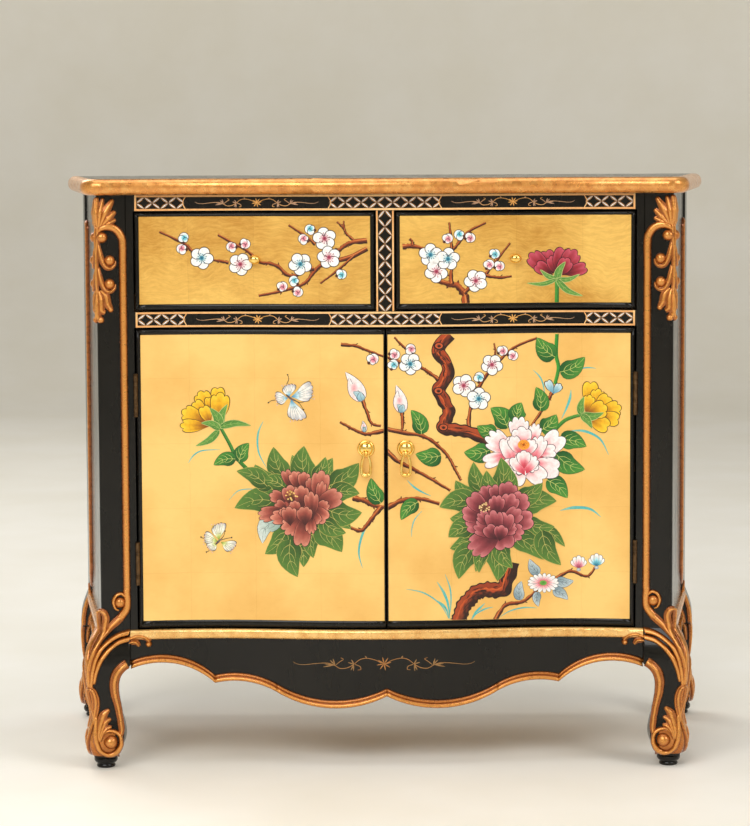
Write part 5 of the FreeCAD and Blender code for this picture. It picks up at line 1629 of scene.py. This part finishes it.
LEFT_DRAWER_BUDS = (
    (183.3, 237.8, "blue"), (181.7, 249.3, "pink"), (231.5, 247.3, "pink"), (245, 243.5, "pink"),
    (310, 229.8, "blue"), (303.3, 239.5, "pink"), (282, 286.2, "pink"), (293.7, 281.2, "blue"),
    (297.8, 291.5, "pink"), (341.2, 274, "blue"),
)
DRAWER_BLOSSOM_R, DRAWER_BUD_R = 11.3, 5.0
DRAWER_INNER_X, DRAWER_OUTER_X, DRAWER_LOW_Z, DRAWER_HIGH_Z = 21.4, 351.0, 671.0, 795.7


def branches(canvas, twigs, heights):
    """Twigs from rows of points and width, at a few heights in turn so that crossing ones don't meet."""
    for k, (points, width) in enumerate(twigs):
        branch(canvas, points, width, 0.05 + 0.03 * (k % heights))


def plum_panel(twigs, blossom, buds):
    """A canvas with plum branches and their flowers."""
    canvas = Canvas(PANEL_OUT, front_spot)
    branches(canvas, twigs, 5)
    for x, y, tint in blossom:
        plum(canvas, x, y, DRAWER_BLOSSOM_R, tint, 0.32 + 0.16 * (round(x) % 2))
    for x, y, tint in buds:
        bud(canvas, x, y, DRAWER_BUD_R, tint)
    return canvas


def hang_panel(canvas, body, low, high):
    """Trims a painting to its gold panel and lets it ride on its door or drawer."""
    canvas.trim(low, -1)
    canvas.trim(high, 1)
    canvas.done(f"{body}_painting", body, "gold_leaf_panel")


panel = plum_panel(LEFT_DRAWER_TWIGS, LEFT_DRAWER_BLOSSOM, LEFT_DRAWER_BUDS)
hang_panel(panel, "left_drawer", (-DRAWER_OUTER_X, DRAWER_LOW_Z), (-DRAWER_INNER_X, DRAWER_HIGH_Z))

# %% Plum and red bud on the right drawer
RIGHT_DRAWER_TWIGS = (
    (((466, 304), (464.2, 294), (457.5, 285.7), (450, 284), (437.5, 280.7)), 7.0),
    (((451.7, 284), (451, 277), (451.7, 268)), 4.2),
    (((402.5, 246.5), (411.7, 245.7), (423, 248)), 4.8),
    (((413, 245), (412, 241), (410, 238.2)), 2.2),
    (((451.7, 250), (450.8, 235.7), (449.2, 222.3)), 2.4),
    (((452, 250), (458.3, 243.2), (468.3, 231.5), (485.8, 222.3)), 2.6),
    (((464, 293), (468, 289), (472, 286)), 4.0),
    (((484, 276), (495, 262.3), (510, 242.7)), 2.2),
    (((485, 275), (500, 277.3), (511.7, 275.7)), 2.4),
)
RIGHT_DRAWER_BLOSSOM = (
    (430.5, 254.8, "blue"), (448, 259, "blue"), (436.3, 271.5, "pink"), (475.8, 280.7, "pink"),
)
RIGHT_DRAWER_BUDS = (
    (447.5, 238.2, "pink"), (459.2, 235.2, "blue"), (470, 237.3, "pink"), (494.5, 253.5, "blue"),
    (488.7, 264.3, "pink"), (499.2, 265.7, "pink"),
)
# Rows of base, tip and width.
RED_BUD_PETALS = (
    ((553, 274), (545.5, 250), 22), ((552, 275), (529.5, 253.5), 25), ((553, 275), (535.5, 264), 20),
    ((556, 276), (551, 256), 17), ((556, 276), (564.5, 247.5), 26), ((558, 276), (576, 250), 26),
    ((561, 275), (587, 266.5), 18), ((557, 277), (569, 258.5), 23),
)
RED_BUD_CALYX = (
    ((556.7, 279), (540, 269.5), 4), ((556.7, 279), (580, 274), 4), ((556.7, 279), (526.5, 283), 3.6),
    ((556.7, 279), (583, 296), 5), ((556.7, 281), (565.5, 261.5), 6),
)
RED_BUD_STEM = ((556.9, 279), (557.0, 290), (556.7, 304))
CRIMSON, CRIMSON_LINE = ((58, 8, 18), (150, 32, 46), (204, 84, 104)), (40, 6, 16)
STEM_GREEN, STEM_SHADE = ((84, 160, 62), (52, 140, 46)), (38, 104, 36)
CALYX_GREEN = ((70, 128, 48), (118, 168, 76), (206, 212, 138), (150, 184, 96))

panel = plum_panel(RIGHT_DRAWER_TWIGS, RIGHT_DRAWER_BLOSSOM, RIGHT_DRAWER_BUDS)
cup(panel, RED_BUD_PETALS, CRIMSON, CRIMSON_LINE, widen=1.0)
panel.stroke(RED_BUD_STEM, (4.2, 4.0, 4.2), STEM_GREEN, 0.2, dark=STEM_SHADE)
foliage(panel, RED_BUD_CALYX, CALYX_GREEN, lift=0.54)
hang_panel(panel, "right_drawer", (DRAWER_INNER_X, DRAWER_LOW_Z), (DRAWER_OUTER_X, DRAWER_HIGH_Z))

# %% [markdown]
# ## The doors
# One painting runs over both doors. On the left a rose peony sits in its leaves under a yellow one, with
# two butterflies; on the right an old plum trunk comes down from the top edge to a white and a dark red
# peony, with a daisy at the foot. Twigs that cross the gap are drawn on both doors and trimmed at it.

# %% Left door: grass, twigs and leaves
LEFT_GRASS = (
    (((188.3, 463), (194, 455), (203, 450.5), (220, 449.7)), 1.6),
    (((263.3, 421), (258, 434), (258.6, 452), (266.7, 468)), 2.0),
    (((372, 519), (363, 533), (358.8, 552), (362.5, 568)), 2.4),
    (((229, 500), (238, 491), (250, 489), (258, 491)), 1.0),
)
LEFT_DOOR_TWIGS = (
    (((340.8, 344.3), (355, 345.5), (368.3, 350.5), (384.5, 356.3)), 2.6),
    (((362.5, 399.7), (366.7, 411.3), (371.7, 423), (381, 425.5)), 2.8),
    (((385, 430), (372, 433), (363.3, 433.3), (351.7, 428), (340, 421.8)), 3.2),
    (((352.5, 497.5), (363.3, 500), (373.3, 505), (385.5, 506.7)), 5.0),
    (((381, 506.7), (371.7, 518.3), (361.7, 530), (350.8, 527.5)), 4.2),
)
YELLOW_STEM = ((220.8, 428), (230, 444.7), (236.7, 458), (252, 474))
YELLOW_STEM_LEAVES = (
    ((239, 462), (249, 443), 13), ((235.5, 459), (213.5, 465), 12), ((381, 503), (371, 478), 14),
)
ROSE_LEAVES = (
    ((283, 474), (273.4, 447), 16), ((294, 474), (292, 455), 11), ((308, 476), (304, 446), 18),
    ((316, 474), (325.5, 457), 11), ((330, 478), (332.6, 458), 11), ((334, 482), (359, 463), 18),
    ((268, 484), (255, 464.5), 15), ((262, 483), (236.5, 471), 13), ((276, 492), (253, 498.5), 14),
    ((274, 501), (234.5, 508), 18), ((286, 532), (265, 554), 16), ((289, 545), (297.6, 577), 18),
    ((298, 548), (303.6, 567), 12), ((316, 535), (313.4, 558), 12), ((318, 530), (342, 552), 20),
    ((325, 521), (346, 533), 13), ((330, 516), (351, 529), 13), ((332, 510), (362, 512.5), 18),
    ((336, 492), (359.5, 493.5), 14), ((282, 484), (262, 480), 12),
)
ROSE_HEART = (300, 507)
# A leaf that shows its white underside.
TURNED_LEAF = ((281, 521), (262.5, 543.5), 15)
TURNED_WHITE = ((150, 176, 164), (246, 250, 246), OUTLINE, (120, 132, 128))
SOFT_GREEN = ((50, 82, 30), (108, 152, 62), (192, 178, 92), (198, 190, 104))
BRIGHT_GREEN = ((22, 84, 32), (98, 172, 62), (20, 56, 24), (206, 214, 118))

left = Canvas(PANEL_OUT, front_spot)
grass(left, LEFT_GRASS)
branches(left, LEFT_DOOR_TWIGS, 3)
left.stroke(YELLOW_STEM, (3.2, 3.6, 4.0), ((84, 150, 60), (46, 132, 44)), 0.12, dark=(40, 100, 36))
foliage(left, YELLOW_STEM_LEAVES, BRIGHT_GREEN)
foliage(left, ROSE_LEAVES, SOFT_GREEN, heart=ROSE_HEART)
leaf(left, *TURNED_LEAF, TURNED_WHITE, 0.29, bow=0.3)
print("left door, leaves:", len(left.bm.faces), "faces")

# %% Left door: peonies
LEFT_YELLOW_PETALS = (
    ((219, 410), (217.5, 387), 17), ((211, 414), (199.5, 391.5), 21), ((206, 416), (194.5, 401), 14),
    ((209, 423), (182, 411), 20), ((210, 412), (208.5, 397), 10), ((211, 426), (180.5, 425.5), 15),
    ((211, 425), (202.5, 406), 14), ((219, 425), (220.5, 392.5), 23),
)
LEFT_YELLOW_CALYX = (
    ((220, 429), (227.5, 404), 7), ((220, 429), (209.5, 407.5), 8), ((220, 427), (251, 425.5), 6),
    ((220, 429), (201, 423), 6), ((219, 430), (195.5, 446), 6),
)
ROSE_PETALS = (
    ((290, 485), (284.6, 469.5), 10), ((299, 486), (293, 471.5), 13), ((304, 487), (304, 472), 12),
    ((312, 493), (311, 477.5), 11), ((318, 499), (322, 470.5), 17), ((319, 502), (322.5, 481), 9),
    ((318, 505), (342, 494), 18), ((316, 510), (329, 503.5), 12), ((314, 510), (327.5, 520.5), 16),
    ((313, 513), (318, 524), 12), ((285, 499), (269.5, 494.5), 12), ((285, 508), (275.5, 502), 10),
    ((281, 511), (258.5, 516), 14), ((294, 517), (270, 517.5), 13), ((304, 517), (283, 531.5), 19),
    ((305, 519), (300.5, 547), 16), ((310, 516), (311.5, 534), 10), ((291, 501), (290, 485), 19),
    ((302, 504), (301, 485.5), 15), ((312, 513), (311, 491.5), 14), ((297, 513), (292.5, 501), 12),
    ((287, 517), (281.5, 508), 10), ((290, 521), (288.5, 506.5), 17), ((305, 521), (304, 506.5), 17),
)
ROSE_EYE = (291.4, 496)
YELLOW = ((120, 58, 6), (236, 172, 20), (255, 212, 56))
ROSE = ((66, 26, 24), (172, 80, 66), (234, 156, 130))

cup(left, LEFT_YELLOW_PETALS, YELLOW, (66, 36, 8))
foliage(left, LEFT_YELLOW_CALYX, CALYX_GREEN, lift=0.56)
peony(left, ROSE_PETALS, ROSE, (66, 20, 22), seed=5)
stamens(left, ROSE_EYE, 6.5, ((236, 180, 90), (255, 228, 150)), (70, 34, 16), seed=3, lift=0.88)
print("left door, peonies:", len(left.bm.faces), "faces")

# %% Left door: magnolias and butterflies
# Rows of foot, heart, tip and height.
LEFT_MAGNOLIAS = (
    ((362.5, 400.5), (357, 393), (345.3, 372), 0.36),
    ((364.5, 432), (364, 427), (362.5, 420.5), 0.3),
)
LEFT_BUD = (372.5, 358.8)
BLUE_BODY = ((286, 394.5), (290, 398), (294, 400.5))
BLUE_WINGS = (
    ((289, 397), (287.5, 382.5), 19), ((288, 398), (274, 400), 18), ((291, 399), (297.8, 424), 21),
    ((291, 397), (316.7, 391), 23),
)
BLUE_THREADS = (
    ((286.7, 384), (288.8, 379), (287.6, 374.8)), ((275.5, 400), (271.5, 400.6), (268.4, 402.6)),
    ((292.4, 398.8), (300, 402.5), (307.6, 400.5)), ((292.4, 399.6), (299, 403), (303.4, 409.6)),
)
LIME_BODY = ((215.5, 544.5), (218.5, 541.5), (221, 539))
LIME_WINGS = (
    ((218, 541), (202, 538.5), 17), ((217, 543), (208.5, 550.5), 13), ((219, 540), (217, 521), 18),
    ((221, 542), (235.5, 550), 16),
)
LIME_THREADS = (
    ((204, 538), (202.5, 538), (201, 537)), ((210, 549), (208.6, 551), (206.5, 552)),
    ((220.5, 539.5), (223.6, 536), (225, 531)), ((220.8, 540), (226, 538.6), (231.7, 537.5)),
)
WING_EDGE = (186, 184, 188)
BLUE_TONES = ((58, 136, 186), (150, 204, 224), (240, 244, 240), (250, 244, 236), (236, 232, 228), WING_EDGE)
LIME_TONES = ((104, 138, 30), (206, 218, 110), (246, 248, 214), (250, 250, 236), (234, 232, 216), WING_EDGE)
DOOR_INNER_X, DOOR_OUTER_X, DOOR_LOW_Z, DOOR_HIGH_Z = 3.2, 350.4, 213.6, 626.4

for row in LEFT_MAGNOLIAS:
    magnolia(left, *row)
bud(left, *LEFT_BUD, 5.6, "pink")
butterfly(left, BLUE_BODY, BLUE_WINGS, BLUE_THREADS, BLUE_TONES)
butterfly(left, LIME_BODY, LIME_WINGS, LIME_THREADS, LIME_TONES)
hang_panel(left, "left_door", (-DOOR_OUTER_X, DOOR_LOW_Z), (-DOOR_INNER_X, DOOR_HIGH_Z))

# %% Right door: grass, twigs and trunks
RIGHT_GRASS = (
    (((532.8, 369.7), (540, 377), (543.5, 386), (544.5, 395)), 1.6),
    (((571, 389.7), (570, 398), (566.5, 408), (561.5, 419)), 2.6),
    (((567, 431.3), (584, 431), (600, 439), (608.7, 455)), 2.6),
    (((560, 510.5), (574, 507.6), (590, 509), (601, 517)), 3.2),
    (((437, 581.7), (444, 593), (448, 604), (450, 619)), 2.8),
    (((406, 589), (424, 593), (440, 604), (449, 619)), 1.4),
    (((445, 574), (450, 588), (451, 602), (449, 619)), 1.6),
    (((436, 600), (443, 605), (447, 611), (449, 619)), 2.4),
    (((485, 603), (480, 608), (475, 613), (471, 620)), 2.2),
    (((493, 607), (485, 609), (476, 614), (472, 620)), 1.6),
    (((537, 608), (524, 607.5), (510, 611), (500, 617)), 1.4),
    (((407, 480), (414, 487), (422, 492), (431, 496)), 2.0),
    (((422, 511), (415, 519), (412, 528), (411.5, 537)), 1.2),
    (((577, 371), (584, 368), (590, 367.6), (596, 368.4)), 1.4),
)
RIGHT_DOOR_TWIGS = (
    (((443, 383), (430.3, 373), (421.2, 367.2), (412, 361)), 3.4),
    (((411, 352), (402, 345), (394.5, 337)), 2.0),
    (((400, 362), (392, 358.5), (384, 356)), 2.6),
    (((470, 432), (468.7, 421.3), (470.3, 409.7), (477.8, 389.7), (488.7, 371.3), (498.7, 361.3),
      (513.7, 347.2), (537, 337.5)), 3.2),
    (((494, 360), (495.4, 351), (494, 343)), 1.4),
    (((402, 411.3), (402.6, 421), (402, 431)), 3.0),
    (((386.4, 428.8), (403.7, 432.2), (422, 435.5), (435.3, 443), (447, 454.7), (453.7, 466.3),
      (461, 480)), 3.4),
    (((386.4, 450.3), (398.7, 461.3), (415.3, 469.7), (432, 479.2), (450.3, 490)), 3.6),
    (((386.4, 508), (400.3, 500.8), (418.7, 498.3), (439.5, 503.3)), 4.6),
    (((553, 391), (549.5, 397), (542, 409.7), (532, 425)), 3.2),
    (((495.3, 619.5), (505.3, 605), (523.7, 600.8), (537, 589)), 3.6),
    (((556, 578), (570.3, 570.8), (587, 575.8), (595, 567)), 2.6),
)
OLD_TRUNK = (
    (449.5, 334), (440.5, 344.5), (438.4, 352), (445.5, 360.5), (447.6, 371.3), (443.7, 382), (438.4, 390),
    (444.8, 401), (448.6, 411.3), (445.4, 420.5), (442.6, 428.4), (454, 429), (468.7, 432), (490, 440),
)
OLD_TRUNK_KNOTS = ((438.5, 346), (438, 391), (443, 427.5))
LOW_TRUNK = ((511, 562), (508, 576), (503, 588.5), (491, 590), (477, 592), (465.5, 604), (458, 622))
GREEN_STEM = ((557, 334), (556.2, 354.7), (558.5, 368), (555, 384))
RIGHT_YELLOW_STEM = ((583, 414.5), (573, 417), (563.7, 421.3), (552, 433))

right = Canvas(PANEL_OUT, front_spot)
grass(right, RIGHT_GRASS)
branches(right, RIGHT_DOOR_TWIGS, 3)
trunk(right, OLD_TRUNK, 11.0, OLD_TRUNK_KNOTS)
trunk(right, LOW_TRUNK, 13.5, ())
right.stroke(GREEN_STEM, (3.6, 3.8, 3.4), ((50, 150, 48), (70, 160, 56)), 0.12, dark=(34, 110, 36))
right.stroke(RIGHT_YELLOW_STEM, (3.2, 3.6, 3.8), ((96, 160, 64), (56, 140, 48)), 0.12, dark=(48, 108, 40))
print("right door, wood:", len(right.bm.faces), "faces")

# %% Right door: white peony
WHITE_LEAVES = (
    ((497, 433), (477, 426), 14), ((508, 428), (490.5, 408), 18), ((517, 420), (521.5, 402.5), 15),
    ((541, 430), (556.5, 414.5), 16), ((560, 440), (586.5, 446.5), 16), ((556, 454), (585, 469.5), 18),
    ((490, 450), (464, 452.5), 17), ((540, 411), (536, 387), 14), ((441, 455.5), (415.5, 454), 16),
    ((421.5, 434), (411, 410), 14), ((555, 357), (537, 337.5), 17), ((560, 372), (585, 357), 16),
    ((547, 480), (567.5, 498), 16), ((418, 502), (401, 520), 13),
)
WHITE_PETALS = (
    ((519, 437), (518.5, 416.5), 21), ((507, 449), (487, 434), 22), ((503, 456), (483, 463.5), 14),
    ((533, 441), (536.5, 423.5), 12), ((543, 453), (562, 433), 22), ((541, 452), (556.5, 450.5), 14),
    ((533, 466), (560.5, 469), 21), ((525, 466), (545, 481), 19), ((520, 466), (515, 486), 17),
    ((513, 461), (505, 437), 16), ((534, 458), (542, 436), 15), ((522, 445), (521.5, 426.5), 22),
    ((513, 462), (503.5, 466), 12), ((523, 462), (512.5, 472.5), 16), ((528, 462), (538, 469), 16),
    ((520, 452), (511, 436.5), 12), ((526, 453), (534.5, 440), 12), ((523, 455), (522, 475), 20),
    ((522, 470), (513.5, 455.5), 16), ((528, 469), (533.5, 455), 16), ((524, 464), (523.5, 450.5), 15),
)
WHITE_EYE = (523.7, 444.7)
BLUSH = ((206, 48, 70), (244, 150, 160), (255, 240, 238), (255, 253, 252), (255, 253, 252))

foliage(right, WHITE_LEAVES, BRIGHT_GREEN, lift=0.16)
peony(right, WHITE_PETALS, BLUSH, (78, 56, 64), seed=9, fade=1.8)
right.dab(*WHITE_EYE, 6.0, 5.0, ((250, 150, 20), (252, 172, 60)), 0.78)
stamens(right, WHITE_EYE, 5.2, ((230, 110, 20), (255, 200, 90)), (190, 90, 20), seed=4, lift=0.8)
print("right door, white peony:", len(right.bm.faces), "faces")

# %% Right door: dark peony
DARK_LEAVES = (
    ((482, 490), (473.5, 462), 13), ((498, 492), (501, 457.5), 17), ((494, 492), (486.5, 470.5), 12),
    ((505, 490), (511.5, 469.5), 12), ((470, 497), (455.5, 480.5), 13), ((471, 500), (439.5, 507), 17),
    ((468, 515), (450, 518.5), 13), ((468, 528), (448.5, 537), 15), ((470, 538), (450, 548.5), 13),
    ((471, 550), (458.7, 579), 17), ((477, 552), (475.5, 571.5), 10), ((484, 552), (479, 572.5), 10),
    ((492, 548), (497.5, 581), 18), ((500, 546), (512.5, 568), 13), ((513, 538), (543.5, 559.5), 16),
    ((549, 533), (561, 565), 15), ((545, 529), (565, 546.5), 9), ((526, 522), (554.5, 526.5), 14),
    ((524, 504), (556.5, 501), 18), ((520, 496), (542.5, 483), 14),
)
DARK_PETALS = (
    ((491, 500), (482, 486.5), 17), ((497, 499), (495, 484.5), 15), ((506, 500), (509.5, 481.5), 20),
    ((510, 510), (527, 495), 21), ((511, 522), (534, 518.5), 20), ((505, 528), (523, 536), 20),
    ((501, 530), (506, 550), 24), ((495, 534), (470, 552), 24), ((487, 527), (465.5, 522), 18),
    ((482, 517), (462.5, 509.5), 19), ((484, 510), (469, 494.5), 17), ((505, 513), (513.5, 493.5), 19),
    ((497, 511), (496.5, 495), 17), ((505, 523), (521, 509.5), 17), ((491, 533), (474.5, 523.5), 17),
    ((503, 530), (516.5, 526), 15), ((488, 523), (479, 512), 13), ((503, 531), (508, 512), 17),
    ((496, 530), (492.5, 510), 19), ((494, 536), (486, 525.5), 15), ((500, 537), (502, 525), 16),
)
DARK_HEART, DARK_EYE = (498, 517), (484.5, 507)
DARK_ROSE = ((64, 18, 28), (156, 64, 72), (226, 138, 140))

foliage(right, DARK_LEAVES, SOFT_GREEN, lift=0.84, heart=DARK_HEART)
peony(right, DARK_PETALS, DARK_ROSE, (48, 10, 20), seed=14, lift=1.0)
stamens(right, DARK_EYE, 6.0, ((240, 190, 120), (250, 224, 180)), (78, 30, 26), seed=6, lift=1.5)
print("right door, dark peony:", len(right.bm.faces), "faces")

# %% Right door: plum, yellow peony and magnolia
RIGHT_BLOSSOM = (
    (410.3, 363.8, 11, "blue"), (492, 364.7, 10.5, "pink"), (463.7, 385.5, 11.4, "pink"),
    (478.7, 398.8, 11.4, "blue"),
)
RIGHT_BUDS = (
    (410.3, 349.5, 5.2, "pink"), (394.5, 354, 5.2, "pink"), (392.8, 364.5, 5.0, "blue"),
    (478.7, 377.3, 5.0, "blue"), (502.3, 350.4, 5.0, "pink"), (512.8, 355, 5.0, "pink"),
)
RIGHT_YELLOW_PETALS = (
    ((590, 411), (590.5, 381), 19), ((594, 411), (599, 389), 17), ((595, 412), (609, 395.5), 18),
    ((597, 414), (621, 407), 20), ((596, 416), (619.5, 420), 18), ((586, 414), (590, 395), 14),
    ((586, 416), (609, 428), 19), ((586, 414), (607, 407), 24),
)
RIGHT_YELLOW_CALYX = (
    ((581, 415), (584, 396.5), 6), ((581, 415), (604, 412.5), 7), ((581, 415), (592, 428.5), 6),
)
RIGHT_MAGNOLIA = ((402.3, 412.5), (400.5, 405.5), (396, 385))
SEPALS = (((553.6, 394), (547, 380.5), 9), ((553.6, 394), (560.5, 384), 9))
SEPAL_BLUE = ((96, 160, 186), (222, 238, 240))

for x, y, radius, tint in RIGHT_BLOSSOM:
    plum(right, x, y, radius, tint, 0.32 + 0.16 * (tint == "blue"))
for x, y, radius, tint in RIGHT_BUDS:
    bud(right, x, y, radius, tint)
cup(right, RIGHT_YELLOW_PETALS, YELLOW, (84, 48, 8))
foliage(right, RIGHT_YELLOW_CALYX, CALYX_GREEN, lift=0.5)
magnolia(right, *RIGHT_MAGNOLIA, 0.36)
cup(right, SEPALS, SEPAL_BLUE, OUTLINE)
print("right door, small flowers:", len(right.bm.faces), "faces")

# %% Right door: daisy
FROST_LEAVES = (
    ((539, 574), (529.5, 559), 9), ((556, 580), (573.7, 580.8), 9), ((553, 590), (568, 599.5), 9),
    ((538, 592), (538.5, 606.5), 7), ((520, 600), (521.5, 581), 9),
)
FROST = ((120, 146, 158), (226, 236, 238), (66, 70, 78), (92, 104, 112))
DAISY, DAISY_PETALS, DAISY_WIDE, DAISY_TALL = (543.2, 582.8), 17, 15.5, 9.6
DAISY_TONES = ((206, 50, 70), (246, 170, 176), WHITE, WHITE)
SIDE_BUDS = ((578.7, 568.5, "pink"), (596.5, 566.5, "blue"))
SIDE_BUD_WIDE, SIDE_BUD_TALL = 9, 13
SIDE_BUD_LEANS = (-2.5, -0.64, -2.1, -1.04, -1.57)

foliage(right, FROST_LEAVES, FROST)
for k in range(DAISY_PETALS):
    angle = 2 * math.pi * k / DAISY_PETALS
    tip = (DAISY[0] + DAISY_WIDE * math.cos(angle), DAISY[1] + DAISY_TALL * math.sin(angle))
    petal(right, DAISY, tip, 4.6, DAISY_TONES, OUTLINE, 0.3 + 0.024 * (k % 4), lobes=1, frill=0.0, edge=0.3)
right.dab(*DAISY, 3.6, 2.5, ((70, 140, 50), (120, 180, 80)), 0.44)
for x, y, tint in SIDE_BUDS:
    for k, lean in enumerate(SIDE_BUD_LEANS):
        tip = (x + SIDE_BUD_WIDE * math.cos(lean), y + SIDE_BUD_TALL * math.sin(lean))
        petal(right, (x, y), tip, 6.4, (*TINTS[tint], WHITE, WHITE), OUTLINE, 0.3 + 0.024 * k, lobes=1,
              frill=0.0, edge=0.35)
    right.dab(x, y + 1.0, 2.2, 1.8, ((220, 228, 232), (150, 160, 168)), 0.44, steps=10)
hang_panel(right, "right_door", (DOOR_INNER_X, DOOR_LOW_Z), (DOOR_OUTER_X, DOOR_HIGH_Z))
